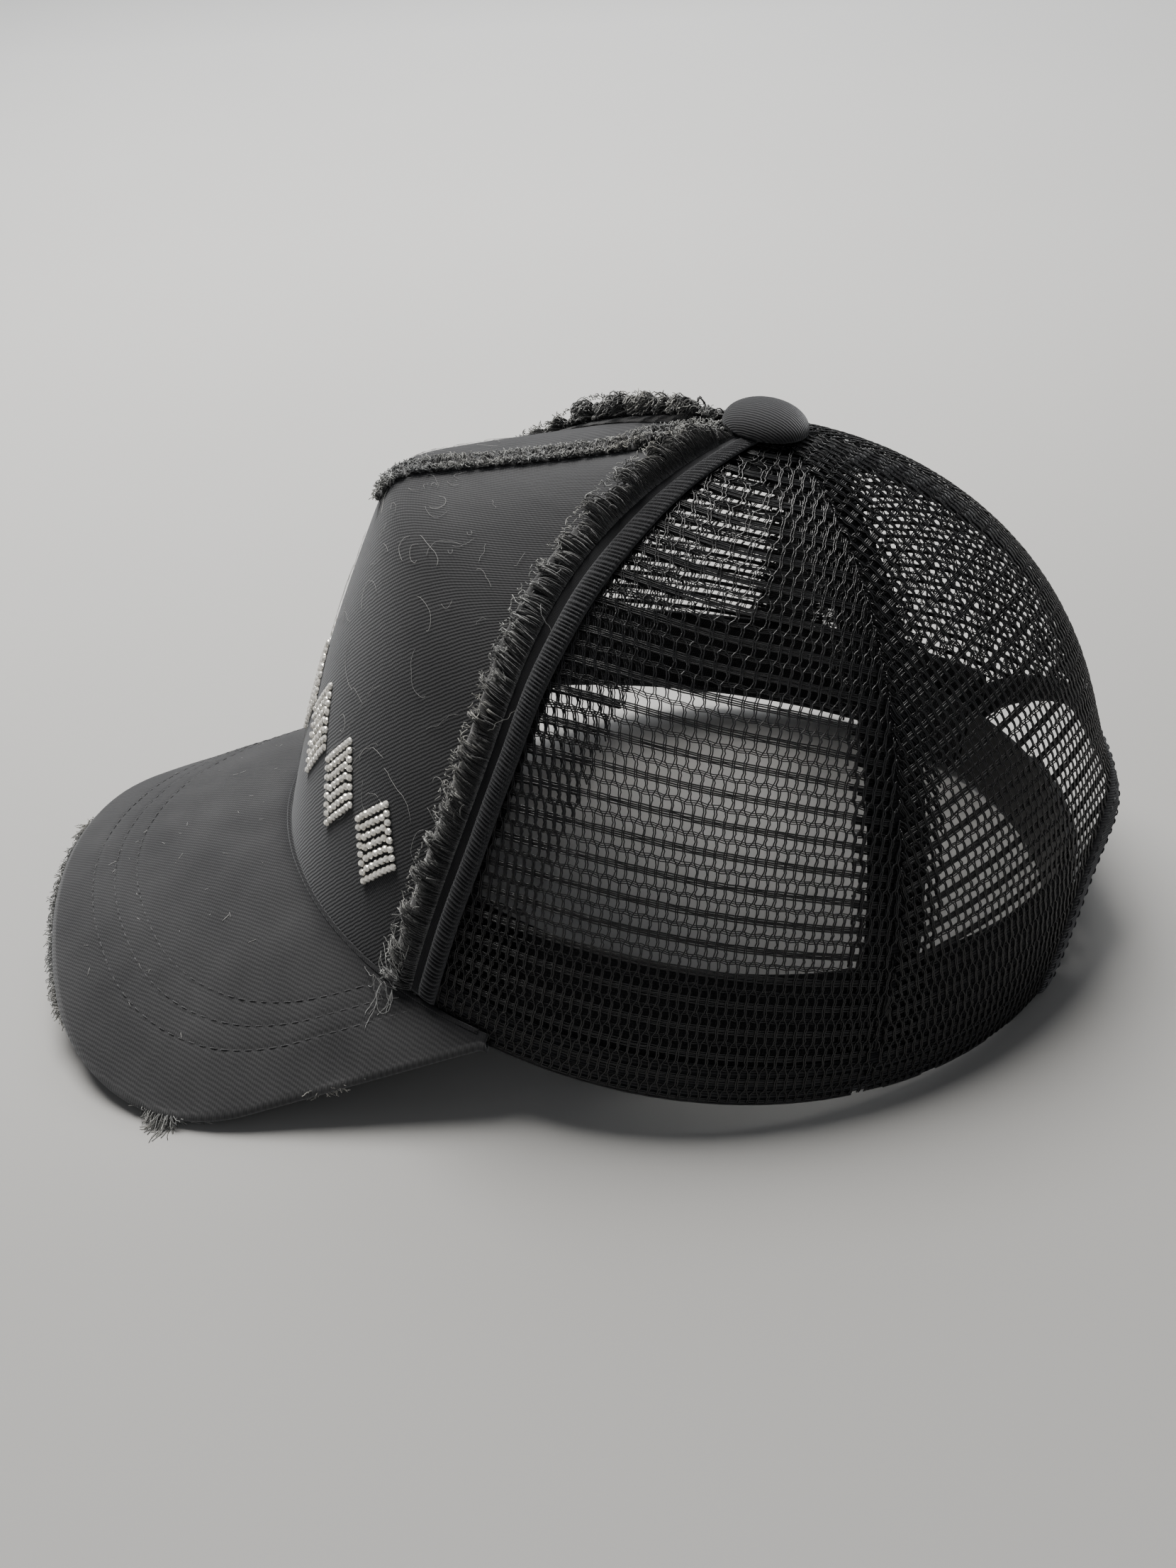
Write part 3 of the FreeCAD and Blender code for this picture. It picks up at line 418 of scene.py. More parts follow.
def connect(tree, target, inputs):
    """Set a node's inputs, by socket name or number, to values or to other nodes' sockets."""
    for key, value in inputs.items():
        if isinstance(value, bpy.types.NodeSocket):
            tree.links.new(value, target.inputs[key])
        else:
            target.inputs[key].default_value = value


def node(tree, kind, inputs=None, **settings):
    made = tree.nodes.new(kind)
    for name, value in settings.items():
        setattr(made, name, value)
    connect(tree, made, inputs or {})
    return made


def maths(tree, operation, a, b=0.0, c=0.0):
    return node(tree, "ShaderNodeMath", {0: a, 1: b, 2: c}, operation=operation).outputs[0]


def clamp(tree, value):
    return node(tree, "ShaderNodeClamp", {"Value": value}).outputs[0]


def noise(tree, position, scale, detail, roughness=0.5):
    return node(tree, "ShaderNodeTexNoise", {"Vector": position, "Scale": scale, "Detail": detail,
                                             "Roughness": roughness}).outputs[0]


def attribute(tree, name, output):
    return node(tree, "ShaderNodeAttribute", attribute_name=name).outputs[output]


def object_position(tree):
    """The position on the object itself, in metres."""
    return node(tree, "ShaderNodeTexCoord").outputs["Object"]


def blend_colour(tree, share, *colours):
    """A mix of a dark and a light colour, each a triple or another node's socket."""
    dark, light = (c if isinstance(c, bpy.types.NodeSocket) else (*c, 1.0) for c in colours)
    return node(tree, "ShaderNodeMix", {0: share, 6: dark, 7: light}, data_type="RGBA").outputs[2]


def wave_of(tree, x, y, along_x, along_y, pitch):
    """A 0 to 1 sine of a position, with its crests a pitch apart across a direction."""
    turn = 2 * math.pi / (pitch * math.hypot(along_x, along_y))
    sum_of = maths(tree, "MULTIPLY_ADD", x, along_x * turn, maths(tree, "MULTIPLY", y, along_y * turn))
    return maths(tree, "MULTIPLY_ADD", maths(tree, "SINE", sum_of), 0.5, 0.5)


def start_material(name):
    material = bpy.data.materials.new(name)
    material.use_nodes = True
    return material, material.node_tree


def finish_material(material, colour, roughness, height=None, depth_mm=0.0, **values):
    """Wire a colour, a roughness and a height of bumps into a material, and set its shader's other inputs."""
    tree = material.node_tree
    inputs = {name.replace("_", " "): value for name, value in values.items()}
    if height is not None:
        bump = node(tree, "ShaderNodeBump", {"Strength": 1.0, "Distance": depth_mm / 1000, "Height": height})
        inputs["Normal"] = bump.outputs[0]
    connect(tree, tree.nodes["Principled BSDF"], {"Base Color": colour, "Roughness": roughness, **inputs})
    return material


def weave_material(name, dark, light, kind, pitch, depth_mm, worn=0.5, fuzz=0.25, roughness=0.88, sheen=0.25,
                   contrast=0.45):
    """Woven cloth: twill, ribs or a plain weave in cloth coordinates, with fuzz, wear, uneven dye and the
    tone attribute's painted shade and highlight.
    """
    material, tree = start_material(name)
    cloth = attribute(tree, "cloth", "Vector")
    axes = node(tree, "ShaderNodeSeparateXYZ", {0: cloth}).outputs
    x, y = maths(tree, "MULTIPLY_ADD", noise(tree, cloth, 0.35, 2.0), 0.7, axes[0]), axes[1]

    def wave(along_x, along_y, wave_pitch=pitch):
        return wave_of(tree, x, y, along_x, along_y, wave_pitch)

    if kind == "twill":
        yarn = wave(0.35, 1.0, pitch * 0.72)
        weave = maths(tree, "MULTIPLY_ADD", wave(1.0, -0.7), 0.7, maths(tree, "MULTIPLY", yarn, 0.3))
    elif kind == "diagonal":
        weave = wave(0.85, -0.5)
    elif kind == "ribbed":
        weave = wave(0.0, 1.0)
    else:
        weave = maths(tree, "MULTIPLY", wave(1.0, 0.0), wave(0.0, 1.0))
    fibre, blotch = noise(tree, cloth, 3.1, 4.0, 0.7), noise(tree, cloth, 0.055, 5.0, 0.6)
    # the tone attribute lightens or darkens the cloth: real wear at the brim's edge, and painted shade and
    # highlight elsewhere
    wear_and_painted_shade = attribute(tree, "tone", "Fac")
    lift = maths(tree, "MULTIPLY_ADD", blotch, worn, maths(tree, "MULTIPLY", wear_and_painted_shade, 0.9))
    share = maths(tree, "MULTIPLY_ADD", weave, contrast, maths(tree, "MULTIPLY_ADD", fibre, 0.35, lift))
    return finish_material(
        material, blend_colour(tree, clamp(tree, maths(tree, "SUBTRACT", share, 0.35)), dark, light),
        maths(tree, "MULTIPLY_ADD", fibre, -0.12, roughness + 0.06),
        maths(tree, "MULTIPLY_ADD", fibre, fuzz, weave), depth_mm, Sheen_Weight=sheen, Sheen_Roughness=0.5,
        Sheen_Tint=(0.8, 0.82, 0.85, 1.0), Specular_IOR_Level=0.25)


def yarn_material(name, dark, light, tint, roughness=0.9, sheen=0.4):
    """Loose yarn: from a dark root to light ends, with flecks and a slow drift towards a tint."""
    material, tree = start_material(name)
    cloth = attribute(tree, "cloth", "Vector")
    fleck = noise(tree, cloth, 1.1, 3.0)
    tone = attribute(tree, "tone", "Fac")
    share = maths(tree, "MULTIPLY", tone, maths(tree, "MULTIPLY_ADD", fleck, 1.3, 0.3))
    ends = blend_colour(tree, noise(tree, cloth, 0.06, 1.0), light, tint)
    return finish_material(material, blend_colour(tree, clamp(tree, share), dark, ends),
                           maths(tree, "MULTIPLY_ADD", fleck, 0.1, roughness - 0.05),
                           noise(tree, cloth, 6.0, 2.0), 0.08, Sheen_Weight=sheen, Sheen_Roughness=0.5)


def netting_material():
    """Black polyester yarn: smooth, glossy strands with a twisted grain and a little dust."""
    material, tree = start_material("netting_yarn")
    cloth = attribute(tree, "cloth", "Vector")
    grain, dust = noise(tree, cloth, 5.0, 3.0), noise(tree, cloth, 0.12, 4.0)
    share = maths(tree, "MULTIPLY", dust, maths(tree, "MULTIPLY_ADD", grain, 1.0, 0.4))
    return finish_material(
        material, blend_colour(tree, share, (0.0006, 0.0006, 0.001), (0.005, 0.0052, 0.006)),
        maths(tree, "MULTIPLY_ADD", grain, 0.3, 0.18), grain, 0.05, Specular_IOR_Level=0.5)


def plastic_material(name, dark, light, roughness):
    """Moulded plastic with a fine grain and worn patches."""
    material, tree = start_material(name)
    position = object_position(tree)
    rub = noise(tree, position, 90.0, 5.0)
    return finish_material(material, blend_colour(tree, rub, dark, light),
                           maths(tree, "MULTIPLY_ADD", rub, 0.25, roughness - 0.1),
                           noise(tree, position, 2600.0, 3.0), 0.03)


def metal_material():
    """Pressed steel with fine turned scratches."""
    material, tree = start_material("pressed_steel")
    position = object_position(tree)
    scratch, stain = noise(tree, position, 1500.0, 5.0), noise(tree, position, 160.0, 4.0)
    return finish_material(material, blend_colour(tree, stain, (0.42, 0.42, 0.43), (0.62, 0.61, 0.6)),
                           maths(tree, "MULTIPLY_ADD", scratch, 0.3, 0.2), scratch, 0.02, Metallic=1.0)


def stone_material():
    """Cut glass over a foil back, pale champagne."""
    material, tree = start_material("foiled_stone")
    cloud = noise(tree, attribute(tree, "cloth", "Vector"), 0.5, 2.0)
    return finish_material(material, blend_colour(tree, cloud, (0.62, 0.58, 0.5), (0.93, 0.92, 0.88)),
                           maths(tree, "MULTIPLY_ADD", cloud, 0.25, 0.02), Metallic=0.55, Coat_Weight=1.0,
                           Coat_Roughness=0.03)


TWILL = weave_material("washed_twill", (0.009, 0.009, 0.01), (0.068, 0.068, 0.069), "twill", 0.8, 0.12,
                       contrast=0.28)
BUTTON_TWILL = weave_material("button_twill", (0.006, 0.006, 0.007), (0.047, 0.047, 0.048), "diagonal", 0.85,
                              0.12, worn=0.25, contrast=0.32)
TAPE_CLOTH = weave_material("woven_tape", (0.003, 0.003, 0.004), (0.026, 0.026, 0.028), "ribbed", 0.8, 0.14)
PIPING_CLOTH = weave_material("ribbed_piping", (0.004, 0.004, 0.005), (0.06, 0.06, 0.063), "plain", 0.3,
                              0.06, worn=0.3, contrast=0.25)
BAND_CLOTH = weave_material("brushed_cotton", (0.003, 0.003, 0.004), (0.02, 0.02, 0.022), "plain", 0.7, 0.1,
                            fuzz=0.6, sheen=0.2)
BUCKRAM_CLOTH = weave_material("stiff_buckram", (0.006, 0.006, 0.007), (0.04, 0.04, 0.039), "plain", 1.1,
                               0.3, roughness=0.75, sheen=0.05)
FRINGE_YARN = yarn_material("frayed_yarn", (0.0025, 0.0025, 0.003), (0.3, 0.322, 0.34), (0.3, 0.282, 0.232))
LINT = yarn_material("lint", (0.1, 0.1, 0.1), (0.34, 0.345, 0.35), (0.38, 0.37, 0.34), 0.8, 0.3)
NET_YARN = netting_material()
STRAP_PLASTIC = plastic_material("soft_plastic", (0.012, 0.012, 0.013), (0.03, 0.03, 0.031), 0.42)
BOARD_PLASTIC = plastic_material("brim_board", (0.5, 0.5, 0.47), (0.6, 0.6, 0.57), 0.6)
STEEL = metal_material()
STONE = stone_material()


def add_piece(pile, name, material, slot, *replaced, mirror=False):
    """Make a pile into a piece that moves with the crown. A mirrored piece is on the wearer's right."""
    finish_piece(pile.make(name, mirror=mirror), material, slot, *replaced)


def finish_piece(piece, material, slot, *replaced):
    piece.data.materials.append(material)
    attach(piece, "crown")
    if replaced:
        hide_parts(*replaced)


def both_hands(label, pile, material, slot, *replaced):
    """The same pile as a left and a mirrored right piece."""
    for hand in ("left", "right"):
        add_piece(pile, label + "_" + hand, material, slot,
                  *(node_name + "_" + hand for node_name in replaced), mirror=hand == "right")


# ------------------------------------------------------------------ stitches


def stitch_points(pile, line, normal, pitch=2.7, length=2.0, radius=0.19, tone=0.5):
    """Stitches along a line of points: each lies on the surface and dips under it at its ends."""
    reach = running_length(line)
    count = int(reach[-1] / pitch)
    if count < 1:
        return
    start = (np.arange(count) + 0.5) * pitch + RNG.uniform(-0.08, 0.08, count)
    at = start[:, None] + shares(5)[None] * length
    dip = np.array([-0.35, 0.06, 0.12, 0.06, -0.35])
    normals = unit(along_line(at, reach, normal))
    points = along_line(at, reach, line) + normals * dip[None, :, None]
    add_runs(pile, points, normals, radius, tone + RNG.uniform(-0.15, 0.15, (count, 1)), sides=5)


# ------------------------------------------------------------------ netting

NET_PITCH, NET_PERIOD = 2.2, 6.4
CORD_SPACING, CORD_RADIUS, THIN_CORD_RADIUS, PILLAR_RADIUS = 0.42, 0.21, 0.14, 0.17
CORD_DEPTH, THIN_CORD_DEPTH, CORD_STAGGER = 0.62, 0.6, 0.08
# how far the flat netting reaches to each side of its middle, before it is cut at the seams
NET_REACH = 85.0


def netting(pile, centre_u, from_u, to_u, arch=False, layer=0.0, low_rise=0.05, swell=1.0):
    """Adds knitted netting between two seams: pairs of upright strands, heavy cords and thin ones.

    It is knitted flat, in millimetres across and up from the hem's point at centre_u, and laid over the
    crown as over a ball. layer is how deep it lies under the crown's surface, low_rise the degree of rise
    it starts from, and swell what the yarn's radius is multiplied by.
    """
    bend_radius = meridian_length(centre_u) / (math.pi / 2)
    height = math.pi / 2 * bend_radius

    def add(across, up, depth, radius):
        """Lay runs of (runs, steps) flat points, keep what is inside the panel and add it as tubes."""
        column, row = across / bend_radius, up / bend_radius
        turn = np.degrees(np.arctan2(np.sin(column), np.cos(column) * np.cos(row)))
        rise = np.degrees(np.arcsin(np.clip(np.cos(column) * np.sin(row), -1, 1)))
        u = centre_u + turn
        v = v_at_share(u, rise / 90)
        inside = (u > from_u(v)) & (u < to_u(v)) & (rise > low_rise) & (v < TOP_V) & (up < height * 1.6)
        if arch:
            points = crown(u, v)
            inside &= arch_out(points[..., 0], points[..., 2]) > 1 + 1.0 / ARCH_HEIGHT
        breaks = ~(inside[:, 1:] & inside[:, :-1])
        run = np.cumsum(np.concatenate([np.ones((len(u), 1), bool), breaks], 1).ravel())
        keep = inside.ravel()
        lone = np.bincount(run[keep], minlength=run.max() + 1)[run] < 2
        keep &= ~lone
        if not keep.any():
            return
        depth = layer + np.broadcast_to(depth, u.shape).ravel()[keep]
        u, v = u.ravel()[keep], v.ravel()[keep]
        add_runs(pile, crown(u, v, depth), crown_normal(u, v), radius * swell, 0.0, run[keep])

    columns = np.arange(-int(NET_REACH / NET_PITCH), int(NET_REACH / NET_PITCH) + 1)
    periods = np.arange(0, int(height / NET_PERIOD) + 1)
    # where a strand stands within one period: heights, sideways reach towards the next column, depth
    knots = np.array([0.0, 0.8, 1.55, 1.95, 2.6, 3.2, 3.6, 4.15, 4.7, 5.1, 5.75])
    bow = np.array([0.0, 0.0, 0.0, 0.05, 0.16, 0.05, 0.0, 0.0, 0.0, 0.05, 0.16])
    depth = np.array([0.3, 0.42, 0.3, 0.25, 0.3, 0.25, 0.3, 0.5, 0.3, 0.25, 0.3])
    shift = np.array([0.0, 0.0, 0.0, 0.0, 0.0, 0.0, 0.06, 0.5, 0.94, 1.0, 1.0])
    up = (periods[:, None] * NET_PERIOD + knots[None]).ravel()
    moved = np.where(periods[:, None] % 2 == 0, shift[None], 1 - shift[None]).ravel()
    bows, depths = np.tile(bow, len(periods)), np.tile(depth, len(periods))
    for hand in (-1, 1):
        base = columns[:, None] * NET_PITCH + hand * (0.2 + (NET_PITCH / 2 - 0.4) * moved[None])
        jitter = RNG.normal(0, 0.05, base.shape)
        add(base + bows[None] + jitter, np.broadcast_to(up, base.shape) + RNG.normal(0, 0.05, base.shape),
            depths[None], PILLAR_RADIUS)
    cord_columns = np.arange(-NET_REACH, NET_REACH + NET_PITCH / 2, NET_PITCH)
    zigzag = 0.16 * np.where(np.arange(len(cord_columns)) % 2, 1, -1)[None]
    # heavy cords between the periods, and thin ones that zigzag halfway up each
    for strands, start, slant, looseness, cord_depth, radius in (
            (4, 0.15, 0.0, 0.05, CORD_DEPTH, CORD_RADIUS),
            (3, NET_PERIOD / 2 + 0.4, zigzag, 0.04, THIN_CORD_DEPTH, THIN_CORD_RADIUS)):
        for strand in range(strands):
            wander = RNG.normal(0, looseness, (len(periods), len(cord_columns)))
            cord_up = periods[:, None] * NET_PERIOD + start + strand * CORD_SPACING + slant + wander
            add(np.broadcast_to(cord_columns, wander.shape), cord_up,
                cord_depth + CORD_STAGGER * (strand % 2), radius)


side_net, back_net, seam_edges = Pile(), Pile(), Pile()
netting(side_net, 80.0, front_seam, side_seam)
netting(back_net, 146.0, side_seam, middle_back, arch=True)
both_hands("netting_side", side_net, NET_YARN, "netting", "mesh_side")
both_hands("netting_back", back_net, NET_YARN, "netting", "mesh_back")

# the netting's turned edges, which double it beside the seams
TURNED_EDGE = {"layer": 0.9, "low_rise": 6.5, "swell": 1.35}
netting(seam_edges, 81.3, beside(front_seam, 4.5), beside(front_seam, 21.5), **TURNED_EDGE)
netting(seam_edges, 78.7, beside(side_seam, -11.0), side_seam, **TURNED_EDGE)
netting(seam_edges, 147.3, side_seam, beside(side_seam, 11.0), arch=True, **TURNED_EDGE)
both_hands("netting_edges", seam_edges, NET_YARN, "netting")

HEM_TAPE_LOW, HEM_TAPE_WIDTH, HEM_TAPE_FRONT, HEM_TAPE_BACK = 0.3, 10.0, 1.12, 1.7
HEM_TAPE_START, HEM_TAPE_END = FRONT_SEAM_U + 0.7, 141.0


def hem_tape():
    """A narrow tape inside the netting's lower edge, from the front seam to the back opening."""
    across, up = share_grid(160, 7)
    u = HEM_TAPE_START + (HEM_TAPE_END - HEM_TAPE_START) * across
    v = v_at_share(u, (HEM_TAPE_LOW + HEM_TAPE_WIDTH * up) / meridian_length(u))
    return crown_shell(u, v, HEM_TAPE_FRONT, HEM_TAPE_BACK)


both_hands("hem_tape", hem_tape(), TAPE_CLOTH, "tape")

# ------------------------------------------------------------------ front panel, buckram and tapes

TWILL_BACK, BUCKRAM_FRONT, BUCKRAM_BACK = 0.8, 0.9, 1.7
TAPE_FRONT, TAPE_BACK, BAND_FRONT, BAND_BACK = 1.8, 2.4, 2.5, 4.1


def share_at(u, v):
    """The share of the way up, by length, at v."""
    column = int(round(abs(u) / 180 * ARC_COLUMNS))
    return float(np.interp(v, TABLE_SHARE[column], shares(ARC_ROWS + 1)))


def panel_relief(u, v):
    """Slow ripples of the starched front, a fraction of a millimetre high. They fade out at the hem."""
    ripples = (np.sin(np.radians(u * 5.0) + v * 4) * np.sin(v * 13.0 + 0.4)
               + 0.6 * np.sin(np.radians(u * 11.0) - v * 7 + 1.0))
    return 0.11 * ripples * np.sin(np.pi * np.clip(v * 1.05, 0, 1)) ** 0.5


BRIM_SHADE_TOP_V = v_at_height(0.0, 75.0)
front_u, front_v = panel_grid(mirrored(front_seam), front_seam, 0.0, share_at(0, TOP_V), 161, 161)
# painted shade: the cloth's colour is darkened towards the brim, fading out 75 mm up the front
painted_brim_shade = -1.7 * (1 - smooth_step(front_v / BRIM_SHADE_TOP_V)) ** 1.5
front_depth = 0.1 - panel_relief(front_u, front_v)
front_panel = crown_shell(front_u, front_v, front_depth, TWILL_BACK, painted_brim_shade)
add_piece(front_panel, "front_twill_panel", TWILL, "twill", "front_panel")

inset_seam = beside(front_seam, -2.0)
lining_u, lining_v = panel_grid(mirrored(inset_seam), inset_seam, 0.01, 0.92, 61, 61)
lining = crown_shell(lining_u, lining_v, BUCKRAM_FRONT, BUCKRAM_BACK)
add_piece(lining, "buckram_lining", BUCKRAM_CLOTH, "buckram", "front_buckram")

HALF_TAPE, TAPE_TOP_V = 7.0, v_at_radius(90.0, 13.0)
# how far a row of stitches stands off the cloth it runs over, and how far inside a tape's edge it is
STITCH_LIFT, STITCH_INSET = 0.02, 1.6


def tape(seam, low_v):
    """A woven tape over a seam inside the crown, with slightly thickened edges and two stitch rows."""
    u, v = band_grid(seam, low_v, TAPE_TOP_V, constant(-HALF_TAPE), constant(HALF_TAPE), 15, 150)
    edge = np.abs(np.linspace(-1, 1, 15))[:, None] ** 6
    pile = crown_shell(u, v, TAPE_FRONT - 0.02, TAPE_BACK + 0.12 * edge + 0.05 * np.sin(v * 190))
    for distance in (-HALF_TAPE + STITCH_INSET, HALF_TAPE - STITCH_INSET):
        row_v = low_v + (TAPE_TOP_V - low_v) * shares(200)
        row_u = off_seam(seam, row_v, distance)
        stitch_points(pile, crown(row_u, row_v, TAPE_BACK + STITCH_LIFT), -crown_normal(row_u, row_v))
    return pile


both_hands("seam_tape_front", tape(front_seam, 0.01), TAPE_CLOTH, "tape", "seam_tape_front")
both_hands("seam_tape_side", tape(side_seam, 0.01), TAPE_CLOTH, "tape", "seam_tape_side")
ARCH_TOP_V = v_at_height(180.0, ARCH_BASE + ARCH_HEIGHT + BINDING_WIDTH - HEM_BACK_RISE + 2.5)
add_piece(tape(middle_back, ARCH_TOP_V), "seam_tape_back", TAPE_CLOTH, "tape", "seam_tape_back")

PATCH_RADIUS, PATCH_HOLE, PATCH_FRONT, PATCH_BACK = 15.0, 3.4, 2.75, 3.35


def top_patch():
    """A round patch inside the crown's top, over the ends of the tapes."""
    turn = np.linspace(-179.9, 179.9, 61)
    outside, inside = (np.array([v_at_radius(u, r) for u in turn]) for r in (PATCH_RADIUS, PATCH_HOLE))
    v = outside[:, None] + (inside - outside)[:, None] * shares(9)[None]
    return crown_shell(np.broadcast_to(turn[:, None], v.shape), v, PATCH_FRONT, PATCH_BACK)


add_piece(top_patch(), "top_patch", TAPE_CLOTH, "tape")

# ------------------------------------------------------------------ sweatband

BAND_HEIGHT, BAND_LOW, BAND_END = 32.0, 0.6, 150.0


def sweatband():
    """The band inside the hem: rounded at its edges, slightly puckered, with a stitch row near each edge."""
    across, up = share_grid(361, 15)
    u = -BAND_END + 2 * BAND_END * across
    v = v_at_share(u, (BAND_LOW + (BAND_HEIGHT - BAND_LOW) * up) / meridian_length(u))
    pucker = (np.sin(np.radians(u) * 36) + 0.6 * np.sin(np.radians(u) * 61 + 1)) * 0.12
    roll = np.sin(np.pi * np.clip(up, 0, 1)) ** 0.35
    band = crown_shell(u, v, BAND_FRONT + 0.35 * (1 - roll), BAND_BACK - 0.55 * (1 - roll) + pucker * roll)
    for row in (1, 12):
        line = crown(u[:, row], v[:, row], BAND_BACK + STITCH_LIFT)
        stitch_points(band, line, -crown_normal(u[:, row], v[:, row]), 3.0, 2.2)
    return band


add_piece(sweatband(), "sweatband_cotton", BAND_CLOTH, "sweatband", "sweatband")

# ------------------------------------------------------------------ binding of the back opening

BINDING_OUT, BINDING_IN, BINDING_STITCHES = 0.5, 2.0, (1.4, 5.1)


def surface_parameters(x, z):
    """The u and v of the back of the crown at each x and height, by Newton's method."""
    u = 180.0 - np.degrees(np.arcsin(x / (HALF_WIDTH * 1.02)))
    v = np.full(x.shape, 0.25)
    step = 1e-4
    for _ in range(25):
        here = crown(u, v)
        by_u = (crown(u + step, v) - here) / step
        by_v = (crown(u, v + step) - here) / step
        miss_x, miss_z = x - here[..., 0], z - here[..., 2]
        determinant = by_u[..., 0] * by_v[..., 2] - by_v[..., 0] * by_u[..., 2]
        u = u + (miss_x * by_v[..., 2] - miss_z * by_v[..., 0]) / determinant
        v = v + (miss_z * by_u[..., 0] - miss_x * by_u[..., 2]) / determinant
        v = np.clip(v, 1e-3, 0.99)
    return u, v


def arch_line(grow, count):
    """u and v along the arch, outside its edge by grow."""
    angle = math.pi * (0.004 + 0.992 * shares(count))
    x = (ARCH_HALF_WIDTH + grow) * np.cos(angle)
    z = ARCH_BASE + (ARCH_HEIGHT + grow) * np.sin(angle)
    return surface_parameters(x, z)


def binding():
    """A bias tape folded over the netting's edge, plump along its fold, with a stitch row."""
    count, middle = 420, (BINDING_IN - BINDING_OUT) / 2
    outer, inner = [], []
    for across in shares(13):
        u, v = arch_line(BINDING_WIDTH * across, count)
        plump = 1 - (2 * across - 1) ** 4
        ripple = 0.07 * np.sin(np.arange(count) * 0.42) * plump
        outer.append(crown(u, v, middle - (0.45 + 0.8 * plump) - ripple))
        inner.append(crown(u, v, middle + 0.45 + 0.8 * plump))
    pile = shell_pile(np.stack(outer), np.stack(inner))
    for grow in BINDING_STITCHES:
        u, v = arch_line(grow, 600)
        stitch_points(pile, crown(u, v, -BINDING_OUT + STITCH_LIFT), crown_normal(u, v))
    return pile


add_piece(binding(), "arch_edge_binding", TAPE_CLOTH, "tape", "arch_binding")

# ------------------------------------------------------------------ piping

PIPING_NEAR, PIPING_WIDTH, PIPING_HEIGHT, RIB_PITCH = 1.9, 4.3, 2.3, 0.95
TRIM_FOOT_V = v_at_height(FRONT_SEAM_U, 3.6)
TRIM_TOP_V = v_at_radius(60.0, 9.2)


def even_heights(u, low_v, high_v, step):
    """Values of v that are a step apart, by length, along the crown at u."""
    low, high = share_at(u, low_v), share_at(u, high_v)
    count = int((high - low) * meridian_length(u) / step) + 1
    return v_at_share(u + 0 * shares(count), low + (high - low) * shares(count))


def piping():
    """A fat rounded tape beside the front seam, with cross ribs, and its flat flange in the groove, coloured
    dark all over as painted shade.

    Towards the button it flattens into a wide ribbed band.
    """
    steps = 6
    v = even_heights(60.0, TRIM_FOOT_V, TRIM_TOP_V, RIB_PITCH / steps)
    at = np.arange(len(v)) * RIB_PITCH / steps
    uneven = at + 0.12 * np.sin(at * 1.7) + 0.1 * np.sin(at * 0.61)
    rib = (0.5 + 0.5 * np.cos(uneven / RIB_PITCH * 2 * math.pi)) ** 0.8
    wander = 0.12 * np.sin(at * 0.07) + 0.08 * np.sin(at * 0.23)
    ends = np.clip(np.minimum(at, at[::-1]) / 2.5, 0, 1) ** 0.5
    flatness = smooth_step(at / at[-1] / 0.4 - 1.15)
    section = shares(15)
    width = PIPING_WIDTH * (1 + 0.1 * flatness)
    distance = PIPING_NEAR + wander + width * (1 - np.cos(math.pi * section))[:, None] / 2
    rise = (PIPING_HEIGHT * (1 - 0.55 * flatness)) * (np.sin(math.pi * section) ** 0.7)[:, None] * ends
    u = off_seam(front_seam, v, distance)
    height = 0.1 + rise * (0.76 + 0.24 * rib)
    # painted highlight and shade: rib crests are lightened and the hollows between them darkened, most where
    # the tape stands tallest
    tone = (1.15 * rib - 0.75) * np.clip(rise / 1.0, 0, 1)
    pile = crown_shell(u, np.broadcast_to(v, u.shape), -height, -0.05, tone)
    flange_u, flange_v = band_grid(front_seam, TRIM_FOOT_V, TRIM_TOP_V, constant(-1.0),
                                   constant(PIPING_NEAR + 1.0), 6, 240)
    # painted shade: a tone of -1 darkens the flange to the cloth's darkest, as the groove's shadow
    flange = crown_shell(flange_u, flange_v, -0.28, 0.0, -1.0)
    pile.add(flange.vertices[0], flange.faces[0], flange.tone[0], flange.cloth[0])
    return pile


both_hands("seam_piping", piping(), PIPING_CLOTH, "piping", "piping")

# ------------------------------------------------------------------ frayed trims

FRINGE_WIDTH, CLUMP, SPINE_STEP = 8.4, 4.2, 0.25
YARN_RADIUS, CURL_RADIUS, THREAD_RADIUS, TUFT = 0.23, 0.11, 0.07, 1.1
YARN_STEPS, CURL_STEPS = 9, 7
# how far a yarn has turned over at its end, as an angle
BEND_OVER = math.pi * 0.74
# four shades of yarn and how common each is
YARN_SHADES, SHADE_ODDS = [0.04, 0.25, 0.7, 1.3], [0.36, 0.28, 0.22, 0.14]
ABOVE_CLOTH = 0.15


